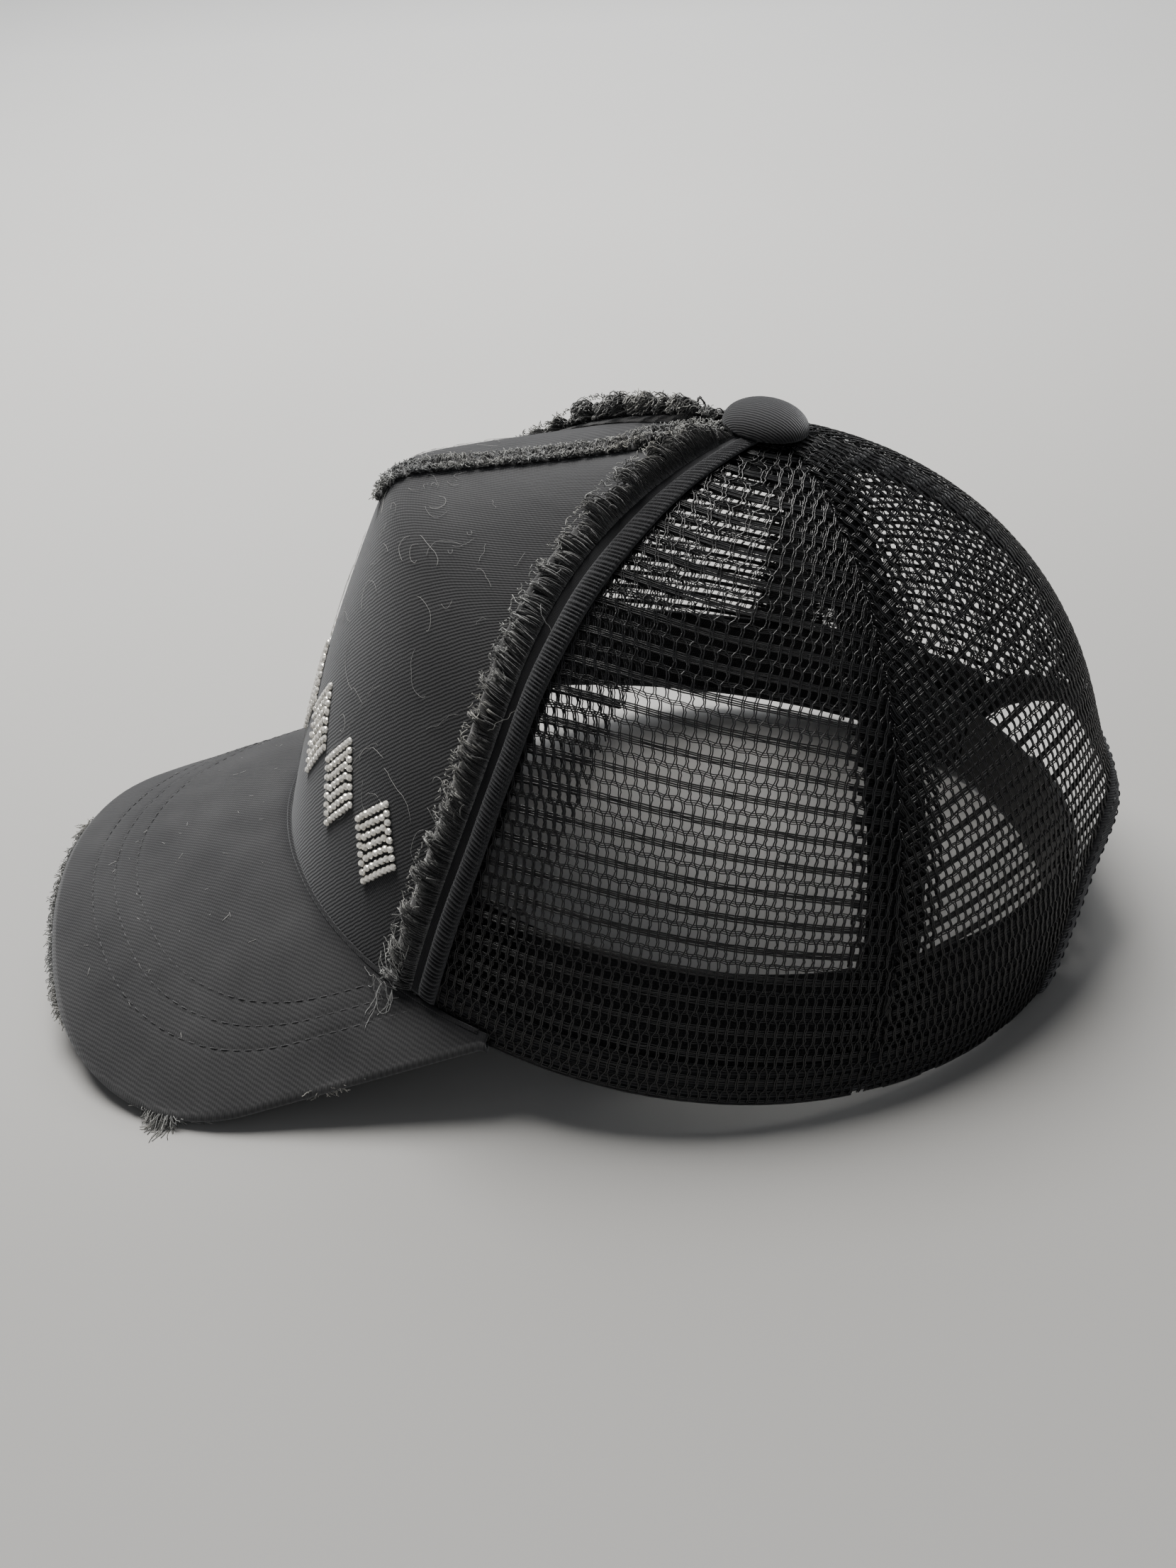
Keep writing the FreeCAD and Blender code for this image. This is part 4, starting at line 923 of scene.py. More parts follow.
class Fringe:
    """A frayed trim along a seam. Its yarn ends curl over from a dark bed, and short curls fuzz their ends.

    width_at gives its width at v, sides the directions that the yarns take and peak how high they rise.
    """

    def __init__(self, seam, low_v, high_v, width_at, sides, peak):
        self.pile, self.seam, self.ends = Pile(), seam, (low_v, high_v)
        self.width_at, self.sides, self.peak = width_at, sides, peak
        self.spine = even_heights(float(seam(0.6)), low_v, high_v, SPINE_STEP)
        share = shares(len(self.spine))
        # the yarns stand taller in a tuft near the button
        self.tall = 1 + TUFT * smooth_step((share - 0.7) / 0.1) * smooth_step((1.0 - share) / 0.07)

    def along(self, at, values):
        """Values of the spine at some places along it, counted in steps."""
        return np.interp(at, np.arange(len(self.spine)), values)

    def scatter(self, per_mm):
        """Random places along the spine."""
        count = int(SPINE_STEP * len(self.spine) * per_mm)
        return count, RNG.uniform(0, len(self.spine) - 1.01, count)

    def bed(self, near, far):
        """The dark woven edge that the yarns come out of."""
        u, v = band_grid(self.seam, *self.ends, near, far, 9, 220)
        bulge = 0.2 + 0.7 * (1 - np.linspace(-1, 1, 9)[:, None] ** 2) + 0.1 * np.sin(v * 310)
        bed = crown_shell(u, v, -bulge, -0.12)
        self.pile.add(bed.vertices[0], bed.faces[0], 0.0)

    def yarns(self, per_mm):
        """Yarn ends that stand up from the seam and curl over to a side, in uneven clumps."""
        t = shares(YARN_STEPS)[None]
        for side in self.sides:
            count, at = self.scatter(per_mm)
            clump_at = np.round(at * SPINE_STEP / CLUMP + 0.4 * np.sin(at * 0.045)) * CLUMP / SPINE_STEP
            gather = RNG.uniform(0.35, 0.9, count)
            tip_at = at + (clump_at - at) * gather + RNG.normal(0, 1.2, count)
            tip_at = np.clip(tip_at, 0, len(self.spine) - 1)
            off_clump = np.abs(at - clump_at)
            clump_reach = 0.86 + 0.14 * np.sin(clump_at * 1.7) - 0.1 * off_clump * SPINE_STEP / CLUMP
            reach = self.width_at(self.along(at, self.spine)) * RNG.beta(6, 1.2, count) * clump_reach
            rise = self.peak * self.along(at, self.tall) * RNG.uniform(0.3, 1.0, count) * clump_reach
            bend = t ** 1.4
            v = self.along(at[:, None] * (1 - bend) + tip_at[:, None] * bend, self.spine)
            drawn_in = 1 - 0.12 * np.clip(t - 0.8, 0, 1) / 0.2
            distance = 0.2 + reach[:, None] * np.sin(t * math.pi / 2) ** 1.15 * drawn_in
            height = 0.3 + rise[:, None] * np.sin(np.clip(t * 1.3, 0, 1) * BEND_OVER)
            distance = distance + RNG.normal(0, 0.17, (count, YARN_STEPS)) * t
            height = np.maximum(height + RNG.normal(0, 0.17, (count, YARN_STEPS)) * t, ABOVE_CLOTH)
            u = off_seam(self.seam, v, side * distance)
            shade = RNG.choice(YARN_SHADES, (count, 1), p=SHADE_ODDS)
            light_end = 0.25 * smooth_step((t - 0.75) / 0.2) * RNG.random((count, 1))
            # painted shade: yarns further from a clump's middle are darkened, as the gaps between clumps are
            # shaded
            painted_shade_off_clump = np.clip(1.25 - 1.1 * off_clump * SPINE_STEP / CLUMP * 2, 0.4, 1)[:, None]
            tone = np.clip((shade * smooth_step((t - 0.2) / 0.6) + light_end) * painted_shade_off_clump, 0, 1)
            radius = YARN_RADIUS * RNG.uniform(0.6, 1.25, (count, 1)) * (1 - 0.35 * t)
            add_runs(self.pile, crown(u, v, -height), crown_normal(u, v), radius, tone, sides=3)

    def curls(self, per_mm):
        """Short fuzzy curls along the fringe's light outer edge and over its top."""
        t = shares(CURL_STEPS)[None, :, None]
        for side in self.sides:
            count, at = self.scatter(per_mm)
            v = self.along(at, self.spine)
            out = RNG.uniform(0.3, 1.0, count) ** 0.5
            top = 0.4 + self.peak * self.along(at, self.tall) * np.sin(out * BEND_OVER) * 0.85
            base_u = off_seam(self.seam, v, side * self.width_at(v) * 0.93 * out)
            middle, normal = crown(base_u, v, -top)[:, None], crown_normal(base_u, v)[:, None]
            turn = RNG.uniform(0, 2 * math.pi, (count, 1, 1)) + t * RNG.uniform(2.5, 5.5, (count, 1, 1))
            one = unit(RNG.normal(0, 1, (count, 1, 3)))
            two = unit(np.cross(one, unit(RNG.normal(0, 1, (count, 1, 3)))))
            loop = RNG.uniform(0.25, 0.65, (count, 1, 1)) * (one * np.cos(turn) + two * np.sin(turn))
            points = middle + loop + (t - 0.5) * 1.2 * unit(RNG.normal(0, 1, (count, 1, 3)))
            sunk = np.minimum(0, ((points - middle) * normal).sum(-1) + top[:, None] - ABOVE_CLOTH)
            points = points - sunk[..., None] * normal
            tone = RNG.uniform(0.3, 1.0, (count, 1)) * (0.35 + 0.65 * out[:, None])
            add_runs(self.pile, points, np.broadcast_to(normal, points.shape), CURL_RADIUS, tone, sides=3)


def loose_threads(pile):
    """A few long threads that hang from the fringe's foot and stray off its edge."""
    count, steps = 26, 16
    t = shares(steps)[None]
    at_foot = RNG.random((count, 1)) < 0.45
    share = np.where(at_foot, RNG.uniform(0.0, 0.05, (count, 1)), RNG.uniform(0.05, 0.95, (count, 1)))
    v0 = TRIM_FOOT_V + (TRIM_TOP_V - TRIM_FOOT_V) * share
    length = RNG.uniform(5, 12, (count, 1))
    way = RNG.normal(math.pi, 0.7, (count, 1)) + np.cumsum(RNG.normal(0, 0.3, (count, steps)), 1)
    across = -2.0 + np.cumsum(np.cos(way), 1) * length / steps
    up = np.cumsum(np.sin(way), 1) * length / steps
    v = np.clip(v0 + up / 170, TRIM_FOOT_V, 0.97)
    u = off_seam(front_seam, v, across)
    height = 2.6 * (1 - t) + 0.35 + RNG.random((count, 1)) * np.sin(t * math.pi)
    tone = RNG.uniform(0.4, 1, (count, 1))
    add_runs(pile, crown(u, v, -height), crown_normal(u, v), THREAD_RADIUS, tone, sides=3)


def to_button(u, v):
    """How far points of the crown are from the button's axis."""
    points = crown(u, v)
    return np.hypot(points[..., 0], points[..., 1] - BUTTON_Y)


def seam_width(v):
    return np.minimum(FRINGE_WIDTH, 0.55 * to_button(front_seam(v), v))


def centre_width(v):
    return 0.4 + np.minimum(0.27 * FRINGE_WIDTH, 0.3 * to_button(0 * v, v))


seam_fringe = Fringe(front_seam, TRIM_FOOT_V, TRIM_TOP_V, seam_width, (-1,), 3.4)
seam_fringe.bed(lambda v: -seam_width(v) * 0.8, constant(-0.25))
seam_fringe.yarns(12.0)
seam_fringe.curls(2.2)
loose_threads(seam_fringe.pile)
both_hands("frayed_trim", seam_fringe.pile, FRINGE_YARN, "fringe", "fray_trim")

BREAK_V, CENTRE_TOP_V = v_at_height(0.0, 88.0), v_at_radius(0.0, 10.2)
centre_fringe = Fringe(middle_front, BREAK_V, CENTRE_TOP_V, centre_width, (-1, 1), 1.7)
centre_fringe.bed(lambda v: -centre_width(v) * 0.7, lambda v: centre_width(v) * 0.7)
centre_fringe.yarns(9.0)
centre_fringe.curls(6.0)
add_piece(centre_fringe.pile, "frayed_trim_centre", FRINGE_YARN, "fringe", "fray_trim_centre")

# ------------------------------------------------------------------ brim

BRIM_HALF_WIDTH, BRIM_LENGTH, BRIM_FRONT_RADIUS, BRIM_CORNER_RADIUS = 75.0, 57.5, 130.0, 50.0
BRIM_BEND_RADIUS, BRIM_SLOPE, SEAM_GAP = 112.0, 0.46, 0.05
BRIM_HALF_THICKNESS, COVER_THICKNESS = 1.7, 0.8
BRIM_JOIN_Y = -HALF_LENGTH
OVAL_X, OVAL_Y = HALF_WIDTH + SEAM_GAP, HALF_LENGTH + BUTTON_Y + SEAM_GAP
BRIM_COLUMNS, BRIM_ROWS = 261, 85
ROLL_ROWS, ROLL_REACH = 7, 1.7
# how far each row of stitches is inside the outermost one
STITCH_ROWS = (0.0, 5.4, 10.8)
# how far the covers stand off the brim's middle layer at its edge, outside and inside
EDGE_LIFT_OUTSIDE, EDGE_LIFT_INSIDE = 0.12, 0.1
SEAM_CORD_RADIUS, FRAY_RADIUS, TRAIL_RADIUS = 0.55, 0.14, 0.09
FLOOR_CLEARANCE = 0.15


def on_oval(angle):
    """Plan points on the crown's oval, at angles in radians from the front."""
    return np.stack([OVAL_X * np.sin(angle), BUTTON_Y - OVAL_Y * np.cos(angle)], -1)


def plan_arc(centre, radius, from_angle, to_angle):
    angle = np.linspace(from_angle, to_angle, 60)
    return np.stack([centre[0] + radius * np.cos(angle), centre[1] + radius * np.sin(angle)], -1)


def brim_outline(count):
    """Evenly spaced plan points round the brim's edge, from the wearer's right to the left."""
    reach = BRIM_FRONT_RADIUS - BRIM_CORNER_RADIUS
    corner_x = BRIM_HALF_WIDTH - BRIM_CORNER_RADIUS
    front_centre = BRIM_JOIN_Y - BRIM_LENGTH + BRIM_FRONT_RADIUS
    corner_y = front_centre - math.sqrt(reach ** 2 - corner_x ** 2)
    meet = math.atan2(corner_y - front_centre, corner_x)
    rear = BUTTON_Y - OVAL_Y * math.sqrt(1 - (BRIM_HALF_WIDTH / OVAL_X) ** 2)
    half = np.concatenate([plan_arc((0, front_centre), BRIM_FRONT_RADIUS, -math.pi / 2, meet),
                           plan_arc((corner_x, corner_y), BRIM_CORNER_RADIUS, meet, 0)[1:],
                           [[BRIM_HALF_WIDTH, rear]]])
    whole = np.concatenate([half[:0:-1] * (-1, 1), half])
    reach = running_length(whole)
    return along_line(shares(count) * reach[-1], reach, whole)


def brim_surface(x, y, lift):
    """Points of the bent brim, at a height over its middle layer, and the unit vectors up out of it."""
    fall = np.sqrt(BRIM_BEND_RADIUS ** 2 - x ** 2)
    z = HEM_FRONT_RISE + BRIM_SLOPE * (y - BRIM_JOIN_Y) - (BRIM_BEND_RADIUS - fall)
    normal = unit(np.stack([x / fall, -BRIM_SLOPE + 0 * y, 1 + 0 * y], -1))
    return np.stack([x, y, z], -1) + normal * np.asarray(lift)[..., None], normal


outline = brim_outline(BRIM_COLUMNS)
end_u = math.degrees(math.asin(BRIM_HALF_WIDTH / OVAL_X))
inner_line = on_oval(np.radians(np.linspace(-end_u, end_u, BRIM_COLUMNS)))
brim_way = unit(outline - inner_line + 1e-9)
brim_reach = np.linalg.norm(outline - inner_line, axis=-1)
edge_way = np.gradient(outline, axis=0)
edge_out = unit(np.stack([edge_way[:, 1], -edge_way[:, 0]], -1))
# plan points where the edge is most worn, and the x that a worn stretch of its front runs between
WORN_CORNER, WORN_SIDE, WORN_FRONT = (70.5, -121.0), (75.0, -84.0), (-23.0, -156.0)
WORN_FROM, WORN_TO = -28, 50


def near_point(x, y, point, spread):
    """1 at a plan point, falling off to 0 within a few times the spread."""
    return np.exp(-((x - point[0]) ** 2 + (y - point[1]) ** 2) / spread ** 2)


def edge_wear(x, y):
    """How worn the brim's edge is: a long stretch at the front and two spots on the wearer's left."""
    front = (y < -120) * smooth_step((x - WORN_FROM) / 5) * smooth_step((WORN_TO - x) / 8)
    side = 0.6 * near_point(x, y, WORN_SIDE, 5.0)
    return np.clip(0.7 * front + near_point(x, y, WORN_CORNER, 5.5) + side, 0, 1)


def cover_start(sign):
    """Plan points from which a cover, once raised off the brim's middle layer, meets the crown."""
    return inner_line - brim_surface(*inner_line.T, 0.0)[1][:, :2] * sign * BRIM_HALF_THICKNESS


def row_inset(x, gap):
    """How far inside the edge a stitch row runs: the rows draw closer to the edge at the front."""
    side_share = smooth_step(np.abs(x) / BRIM_HALF_WIDTH)
    return 9.5 + 6.0 * side_share + gap * (1 + 0.1 * side_share)


def brim_cover(sign):
    """The brim's upper cover (sign 1) or lower cover (-1), rolled round the board's edge."""
    share = 1 - (1 - shares(BRIM_ROWS)) ** 1.3
    flat_end = np.maximum(brim_reach - ROLL_REACH, 0.02)
    end = inner_line + (outline - inner_line) * (flat_end / np.maximum(brim_reach, 0.02))[:, None]
    plan = cover_start(sign)[:, None] * (1 - share[None, :, None]) + end[:, None] * share[None, :, None]
    edge_gap = brim_reach[:, None] - share[None] * flat_end[:, None]
    x, y = plan[..., 0], plan[..., 1]
    wobble = 0.1 * np.sin(x * 0.31 + y * 0.17) * np.sin(y * 0.23 - x * 0.11)
    groove = 0
    for row_gap in STITCH_ROWS:
        groove = groove - 0.22 * np.exp(-((edge_gap - row_inset(x, row_gap)) / 0.5) ** 2)
    lift = sign * (BRIM_HALF_THICKNESS + wobble + groove)

    def rolled(lift_of_flat, reach, low, height):
        """The flat rows, and after them the rows that wrap round the board's edge."""
        rows = []
        for angle in np.linspace(0, math.pi / 2, ROLL_ROWS + 1)[1:]:
            out = plan[:, -1] + edge_out * (reach * math.sin(angle))
            rows.append(brim_surface(*out.T, sign * (low + height * math.cos(angle)))[0])
        return np.concatenate([brim_surface(x, y, lift_of_flat)[0], np.stack(rows, 1)], 1)

    outer = rolled(lift, ROLL_REACH, EDGE_LIFT_OUTSIDE, BRIM_HALF_THICKNESS - EDGE_LIFT_OUTSIDE)
    inner = rolled(lift - sign * COVER_THICKNESS, ROLL_REACH - COVER_THICKNESS, EDGE_LIFT_INSIDE,
                   BRIM_HALF_THICKNESS - COVER_THICKNESS)
    wear = edge_wear(*outline.T)[:, None]
    near_edge = np.exp(-np.maximum(edge_gap, 0) / 1.3) * 0.4
    # painted shade: the covers' colour darkens within a few millimetres of the crown
    painted_shade_near_crown = np.exp(-(brim_reach[:, None] - edge_gap) / 1.6)
    tone = np.concatenate([near_edge * (0.25 + wear) - 0.5 * painted_shade_near_crown,
                           np.repeat(0.18 + 0.55 * wear, ROLL_ROWS, 1)], 1)
    # each end of the brim comes to a point, so its last column is left out
    outer, inner, tone = (grid[1:-1][::sign] for grid in (outer, inner, tone))
    vertices, faces = shell(outer, inner)
    pile = Pile()
    pile.add(vertices, faces, np.concatenate([tone.ravel()] * 2), vertices * (1, 1, 0))
    return pile


def brim_stitches(pile, sign):
    for gap in STITCH_ROWS:
        inset = row_inset(outline[:, 0], gap)
        keep = brim_reach > inset + 1.5
        at = outline[keep] - brim_way[keep] * inset[keep][:, None]
        at = along_line(shares(900), shares(len(at)), at)
        line, normals = brim_surface(*at.T, sign * (BRIM_HALF_THICKNESS - 0.1))
        stitch_points(pile, line, normals * sign, 2.9, 2.3, 0.15, 0.35)


def brim_seam_cord(pile):
    """The turned edge of the upper cover, tight against the crown, darkened all over as painted shade in the
    join.
    """
    line = (cover_start(1) + brim_way * 0.25)[4:-4]
    points, normals = brim_surface(*line.T, BRIM_HALF_THICKNESS)
    # painted shade: a tone of -1 darkens the cord to the cloth's darkest
    add_runs(pile, points[None], normals[None], SEAM_CORD_RADIUS, -1.0, sides=8)


def edge_fray():
    """Loose ends of yarn along the worn stretches of the brim's edge."""
    samples, steps = 6000, 7
    fine, out = (along_line(shares(samples), shares(BRIM_COLUMNS), line) for line in (outline, edge_out))
    wear = edge_wear(*fine.T)
    pick = np.nonzero(RNG.random(samples) < wear * 0.5)[0]
    pick = np.concatenate([pick, pick])
    count = len(pick)
    t = shares(steps)[None]
    x, y = fine[pick, :1], fine[pick, 1:]
    out_x, out_y = out[pick, :1], out[pick, 1:]
    tuft = sum(near_point(x, y, point, 3.5) for point in (WORN_CORNER, WORN_FRONT))
    reach = RNG.uniform(0.7, 3.2, (count, 1)) * wear[pick][:, None]
    reach = reach * (1 + 1.6 * tuft * RNG.random((count, 1)))
    lean = RNG.normal(0, 1.4, (count, 1))
    start_lift = RNG.uniform(-1.2, 1.3, (count, 1))
    # ends that reach further also hang lower
    fall = RNG.uniform(-0.8, 2.0, (count, 1))
    x = x - out_x * 0.35 + out_x * reach * t + out_y * lean * t ** 1.6
    y = y - out_y * 0.35 + out_y * reach * t - out_x * lean * t ** 1.6
    lift = start_lift + 0.6 * np.sin(t * 3) * RNG.uniform(-1, 1, (count, 1)) - fall * t ** 2
    jitter = RNG.normal(0, 0.14, (2, count, steps)) * t
    points, normals = brim_surface(np.clip(x + jitter[0], -80, 80), y + jitter[1], np.maximum(lift, -2.4))
    # ends at the lowest corners lie on the floor
    below_floor = np.maximum(0, FLOOR_CLEARANCE - place(points)[..., 2] * 1000)
    points = points + below_floor[..., None] * TURN[2]
    tone = np.clip(RNG.uniform(0.25, 1.0, (count, 1)) * (0.4 + 0.8 * t), 0, 1)
    pile = Pile()
    add_runs(pile, points, normals, FRAY_RADIUS * (1 - 0.3 * t) + 0 * reach, tone, sides=3)
    return pile


def foot_threads():
    """Threads that trail from the fringe's foot over the brim."""
    count, steps = 16, 12
    t = shares(steps)[None]
    u0 = np.radians(front_seam(0.0) - RNG.uniform(1.0, 5.5, (count, 1)))
    way = u0 + RNG.normal(0.1, 0.6, (count, 1)) + np.cumsum(RNG.normal(0, 0.3, (count, steps)), 1)
    reach = RNG.uniform(3.0, 9.0, (count, 1)) / steps
    start = on_oval(u0)
    x = start[..., 0] + np.cumsum(np.sin(way), 1) * reach
    y = start[..., 1] - np.cumsum(np.cos(way), 1) * reach
    lift = BRIM_HALF_THICKNESS + 0.2 + 4.0 * (1 - t) ** 2 + 0.3 * RNG.random((count, 1)) * np.sin(t * 6)
    points, normals = brim_surface(x, y, lift)
    pile = Pile()
    add_runs(pile, points, normals, TRAIL_RADIUS, RNG.uniform(0.15, 0.8, (count, 1)), sides=3)
    return pile


for name, sign, replaced in (("brim_upper_cover", 1, "brim_cover_top"),
                             ("brim_lower_cover", -1, "brim_cover_under")):
    cover = brim_cover(sign)
    brim_stitches(cover, sign)
    if sign > 0:
        brim_seam_cord(cover)
    add_piece(cover, name, TWILL, "twill", replaced)
add_piece(edge_fray(), "brim_edge_fray", FRINGE_YARN, "fringe")
both_hands("trailing_threads", foot_threads(), FRINGE_YARN, "fringe")

# ------------------------------------------------------------------ button

BUTTON_RADIUS, BUTTON_DOME, BUTTON_CLOTH, BUTTON_TUCK = 9.6, 5.4, 0.7, 2.6
BUTTON_BASE = np.array([0.0, BUTTON_Y, CROWN_HEIGHT + 0.2])
PLEATS = 22


def button():
    """A cloth-covered dome whose cloth is gathered into fine pleats at its rim and tucked under."""
    rings, around = 44, 180
    turn = shares(around + 1)[:-1] * 2 * math.pi
    share = shares(rings)
    polar = share * (math.pi / 2 + 0.55)
    over, under = np.minimum(polar, math.pi / 2), np.clip(polar - math.pi / 2, 0, 1)
    radius = BUTTON_RADIUS * np.sin(over) - BUTTON_TUCK * under
    height = BUTTON_DOME * (np.cos(over) ** 0.92) - 0.35 * under
    pleat = 0.1 * smooth_step((share - 0.6) / 0.3)[:, None] * np.cos(turn * PLEATS)[None]
    dome = []
    for inset in (0.0, BUTTON_CLOTH):
        r = np.maximum(radius[:, None] - inset * np.sin(over)[:, None], 0.01) + pleat
        r[0] = 0.01
        z = height - inset * np.cos(over) * 0.9
        dome.append(np.stack([r * np.cos(turn), r * np.sin(turn), z[:, None] + 0 * r], -1) + BUTTON_BASE)
    count = rings * around
    walls = grid_quads(rings, around, wrap=True)[:, ::-1]
    rim_out = (rings - 1) * around + np.arange(around)
    rim = np.stack([rim_out, np.roll(rim_out, -1), np.roll(rim_out, -1) + count, rim_out + count], -1)
    reach = (polar * BUTTON_RADIUS)[:, None]
    flat = np.stack([reach * np.cos(turn), reach * np.sin(turn), 0 * reach * turn], -1).reshape(-1, 3)
    pile = Pile()
    pile.add(np.concatenate([grid.reshape(-1, 3) for grid in dome]),
             np.concatenate([walls, walls[:, ::-1] + count, rim[:, ::-1]]), 0.0, np.concatenate([flat, flat]))
    # the small holes at the top of both domes are closed
    pile.faces += [np.arange(around)[None], np.arange(around)[None, ::-1] + count]
    return pile


add_piece(button(), "covered_button", BUTTON_TWILL, "twill", "button_cap")

# ------------------------------------------------------------------ stones

STONE_DIAMETER, STONE_HEIGHT, STONE_PITCH, FACETS = 1.8, 0.9, 2.05, 8
DIAMOND_HALF_WIDTH, DIAMOND_HALF_HEIGHT, DIAMOND_SPACING, DIAMONDS = 6.6, 12.0, 17.0, 7
DIAMOND_RINGS, DIAMOND_CENTRE, STONE_LIFT = 3, 37.0, 0.12
# each ring of a stone's corners: its share of the radius and of the height, and its turn in facets
CUT = ((1.0, 0.0, 0.0), (1.0, 0.22, 0.0), (0.8, 0.62, 0.5), (0.48, 0.92, 0.0))


def diamond(half_width, half_height):
    """Places of stones along a diamond's edge."""
    corners = np.array([(half_width, 0), (0, half_height), (-half_width, 0), (0, -half_height)], float)
    steps = max(2, round(math.hypot(half_width, half_height) / STONE_PITCH))
    share = np.arange(steps)[None, :, None] / steps
    return (corners[:, None] * (1 - share) + np.roll(corners, -1, 0)[:, None] * share).reshape(-1, 2)


def stones():
    """Round cut stones: a table, two rings of eight facets and a flat back, set at slightly odd angles."""
    places = []
    for i in range(DIAMONDS):
        middle = (i - (DIAMONDS - 1) / 2) * DIAMOND_SPACING
        places.append(np.array([[middle, 0.0]]))
        for ring in range(1, DIAMOND_RINGS + 1):
            share = ring / DIAMOND_RINGS
            places.append(diamond(DIAMOND_HALF_WIDTH * share, DIAMOND_HALF_HEIGHT * share) + (middle, 0))
    places = np.concatenate(places)
    places = places + RNG.normal(0, 0.03, places.shape)
    middle_v = v_at_height(0.0, DIAMOND_CENTRE)
    per_v = np.linalg.norm(crown(0.0, middle_v + 0.01) - crown(0.0, middle_v - 0.01)) / 0.02
    u, v = places[:, 0] / degree_length(0.0, middle_v), middle_v + places[:, 1] / per_v
    count = len(places)
    normal = unit(crown_normal(u, v) + RNG.normal(0, 0.05, (count, 3)))
    base = crown(u, v, -STONE_LIFT)
    side = unit(np.cross(np.array([0, 0, 1.0]), normal))
    up = np.cross(normal, side)
    spin = RNG.uniform(0, 1, (count, 1))
    vertices = []
    for share, height, half_step in CUT:
        angle = ((np.arange(FACETS)[None] + half_step + spin) / FACETS * 2 * math.pi)[..., None]
        out = side[:, None] * np.cos(angle) + up[:, None] * np.sin(angle)
        vertices.append(base[:, None] + normal[:, None] * (height * STONE_HEIGHT)
                        + STONE_DIAMETER / 2 * share * out)
    vertices = np.stack(vertices, 1).reshape(-1, 3)
    k, after = np.arange(FACETS), (np.arange(FACETS) + 1) % FACETS
    girdle, crest, table = FACETS, 2 * FACETS, 3 * FACETS

    def every_stone(*corners):
        """A face, given by its corners or by one array for each corner, on every stone."""
        first = np.arange(count)[:, None, None] * len(CUT) * FACETS
        return (np.stack(corners, -1)[None] + first).reshape(-1, len(corners))

    walls = every_stone(k, after, after + girdle, k + girdle)
    triangles = np.concatenate([
        every_stone(k + girdle, after + girdle, k + crest),
        every_stone(after + girdle, after + crest, k + crest),
        every_stone(k + crest, after + crest, after + table),
        every_stone(k + crest, after + table, k + table)])
    ends = np.concatenate([every_stone(*(k[:, None] + table)), every_stone(*k[::-1, None])])
    return make_object("front_stones", vertices, [walls, triangles, ends], False, vertices,
                       np.zeros(len(vertices)))


finish_piece(stones(), STONE, "stones", "front_studs")

# ------------------------------------------------------------------ strap and hidden parts

STRAP_CENTRE_Y, STRAP_BOTTOM, STRAP_HEIGHT = 24.3, 7.0, 20.0
HINGE_ANGLE, TAB_GAP, TAB_SWEEP = 34.0, 1.4, 13.0
OUTER_RADIUS, INNER_RADIUS = 71.6, 70.0
# where a tab's cloth is, from the strap half's outer face: outside it, inside it, and past its edges
TAB_OUTSIDE, TAB_INSIDE, TAB_OVERHANG = 0.1, 1.35, 0.15


def strap_tab(strap_radius, hand):
    """A folded loop of cloth on the wearer's left (hand 1) or right (-1), with two stitch rows."""
    angle = np.radians(90 - hand * (HINGE_ANGLE + TAB_GAP + TAB_SWEEP * shares(40)))
    height = STRAP_BOTTOM - TAB_OVERHANG + (STRAP_HEIGHT + 2 * TAB_OVERHANG) * shares(25)
    rounding = 0.22 * np.abs(2 * shares(25) - 1) ** 8
    ripple = 0.05 * np.sin(angle * 90)[:, None]

    def face(radius):
        """Points at a radius round the strap's axis, for every angle and height."""
        radius = np.broadcast_to(radius, (len(angle), len(height)))
        return np.stack([radius * np.cos(angle)[:, None], STRAP_CENTRE_Y + radius * np.sin(angle)[:, None],
                         np.broadcast_to(height, radius.shape)], -1)

    outer = face(strap_radius + TAB_OUTSIDE + ripple - rounding)
    pile = shell_pile(outer, face(strap_radius - TAB_INSIDE - ripple + rounding))
    for column in (3, 36):
        way = np.array([math.cos(angle[column]), math.sin(angle[column]), 0.0])
        line = outer[column, 2:-2]
        stitch_points(pile, line, np.broadcast_to(way, line.shape), 2.4, 1.8)
    return pile


add_piece(strap_tab(OUTER_RADIUS, 1), "strap_loop_left", BAND_CLOTH, "twill", "strap_tab_left")
add_piece(strap_tab(INNER_RADIUS, -1), "strap_loop_right", BAND_CLOTH, "twill", "strap_tab_right")

for cad_node, material in (("strap_holes", STRAP_PLASTIC), ("strap_studs", STRAP_PLASTIC),
                           ("brim_board", BOARD_PLASTIC), ("button_shell", STEEL),
                           ("button_back", STEEL), ("button_prong", STEEL)):
    materials = frame["nodes"][cad_node].data.materials
    materials.clear()
    materials.append(material)

# ------------------------------------------------------------------ lint

HAIR_RADIUS, FLECK_RADIUS = 0.038, 0.055


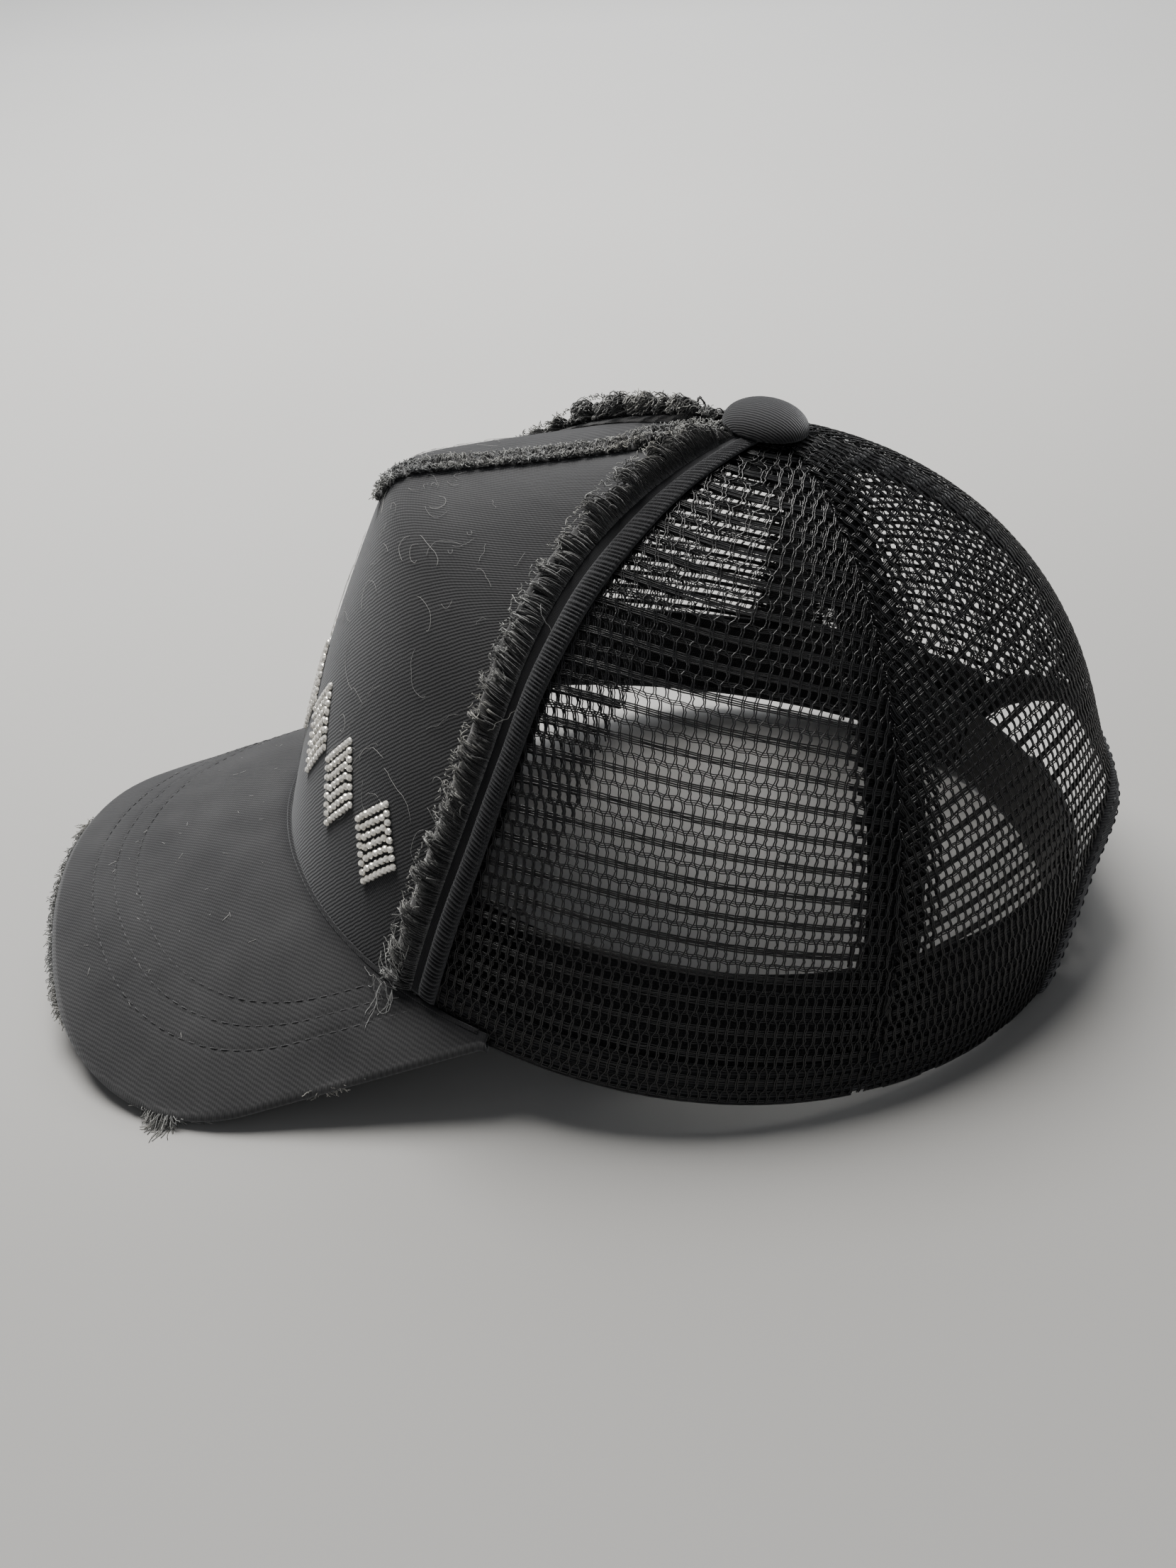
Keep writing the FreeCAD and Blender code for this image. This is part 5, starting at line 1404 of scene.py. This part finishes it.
def lint_hairs():
    """Fine pale curly hairs that cling to the front panel, and flecks on the brim."""
    pile = Pile()
    count, steps = 130, 24
    length = RNG.uniform(4, 22, (count, 1))
    bend = RNG.normal(0, 0.09, (count, 1)) * np.arange(steps)[None]
    way = RNG.uniform(0, 2 * math.pi, (count, 1)) + bend + np.cumsum(RNG.normal(0, 0.16, (count, steps)), 1)
    across = np.cumsum(np.cos(way), 1) * length / steps
    up = np.cumsum(np.sin(way), 1) * length / steps
    u = np.clip(RNG.uniform(-42, 44, (count, 1)) + across / 1.7, -44, 44)
    v = np.clip(RNG.uniform(0.06, 0.75, (count, 1)) + up / 190, 0.02, 0.9)
    height = 0.16 + 0.25 * RNG.random((count, 1)) * np.sin(shares(steps)[None] * math.pi)
    tone = RNG.uniform(0.1, 0.8, (count, 1))
    add_runs(pile, crown(u, v, -height), crown_normal(u, v), HAIR_RADIUS, tone, sides=3)
    x, y = RNG.uniform(-66, 66, (70, 1)), RNG.uniform(-146, -104, (70, 1))
    off_crown = np.hypot(x / OVAL_X, (y - BUTTON_Y) / OVAL_Y) > 1.05
    on_brim = off_crown & (y > -150 + x * x / 260 + np.maximum(0, np.abs(x) - 40) * 0.9)
    x, y = x[on_brim][:, None], y[on_brim][:, None]
    angle = RNG.uniform(0, 2 * math.pi, x.shape)
    reach = RNG.uniform(0.3, 2.2, x.shape) * shares(4)[None]
    points, normals = brim_surface(x + np.cos(angle) * reach, y + np.sin(angle) * reach,
                                   BRIM_HALF_THICKNESS + 0.12)
    add_runs(pile, points, normals, FLECK_RADIUS, RNG.uniform(0.3, 1, x.shape), sides=3)
    return pile


add_piece(lint_hairs(), "lint_hairs", LINT, "fringe")

# ------------------------------------------------------------------ floor, light and camera


def add_floor():
    bpy.ops.mesh.primitive_plane_add(size=6)
    floor = bpy.context.object
    floor.name = "floor"
    material, tree = start_material("pale_floor")
    position = object_position(tree)
    sideways = node(tree, "ShaderNodeSeparateXYZ", {"Vector": position}).outputs[0]
    # painted light: the floor's colour grows lighter towards the wearer's right, which is further from the
    # camera
    share = maths(tree, "MULTIPLY_ADD", sideways, -0.8,
                  maths(tree, "MULTIPLY", noise(tree, position, 2.0, 4.0), 0.15))
    finish_material(material, blend_colour(tree, share, (0.27, 0.267, 0.26), (0.74, 0.735, 0.72)), 0.7)
    floor.data.materials.append(material)


def add_light(name, direction, distance, size_m, watts, colour, target):
    """A round lamp at a distance in metres from a target, in some direction."""
    lamp = bpy.data.lights.new(name, "AREA")
    lamp.shape, lamp.size, lamp.energy, lamp.color = "DISK", size_m, watts, colour
    holder = bpy.data.objects.new(name, lamp)
    bpy.context.scene.collection.objects.link(holder)
    way = Vector(direction).normalized()
    holder.location = target + way * distance
    holder.rotation_euler = (-way).to_track_quat("-Z", "Y").to_euler()


def add_camera(azimuth, elevation, roll, distance_mm, target_mm, lens_mm):
    """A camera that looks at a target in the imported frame; azimuth is from the front, in degrees."""
    camera = bpy.data.cameras.new("camera")
    holder = bpy.data.objects.new("camera", camera)
    bpy.context.scene.collection.objects.link(holder)
    camera.sensor_fit, camera.sensor_height, camera.lens = "VERTICAL", 24.0, lens_mm
    camera.clip_start = 0.01
    az, el = math.radians(azimuth), math.radians(elevation)
    back = Vector((math.sin(az) * math.cos(el), -math.cos(az) * math.cos(el), math.sin(el)))
    turn = (-back).to_track_quat("-Z", "Y").to_matrix() @ Matrix.Rotation(math.radians(roll), 3, "Z")
    place_at = Vector(target_mm) / 1000 + back * distance_mm / 1000
    holder.matrix_world = Matrix.Translation(place_at) @ turn.to_4x4()
    bpy.context.scene.camera = holder


MIDDLE = Vector((0.0, 0.0, 0.05))
add_floor()
world = bpy.data.worlds.new("studio")
bpy.context.scene.world = world
world.use_nodes = True
connect(world.node_tree, world.node_tree.nodes["Background"], {0: (0.94, 0.96, 1.0, 1.0), 1: 0.22})
add_light("key", (-0.3, -0.2, 1.0), 1.1, 0.7, 29.0, (1.0, 0.98, 0.95), MIDDLE)
add_light("side", (1.0, 0.35, 0.7), 1.3, 0.9, 1.0, (0.95, 0.97, 1.0), MIDDLE)
add_light("backdrop", (0.0, 0.0, 1.0), 1.3, 1.4, 20.0, (0.96, 0.98, 1.0), Vector((-1.5, 0.0, 0.0)))
add_camera(89.1, 35.38, -3.53, 408.6, (0.0, 3.99, 34.47), 24.9548)
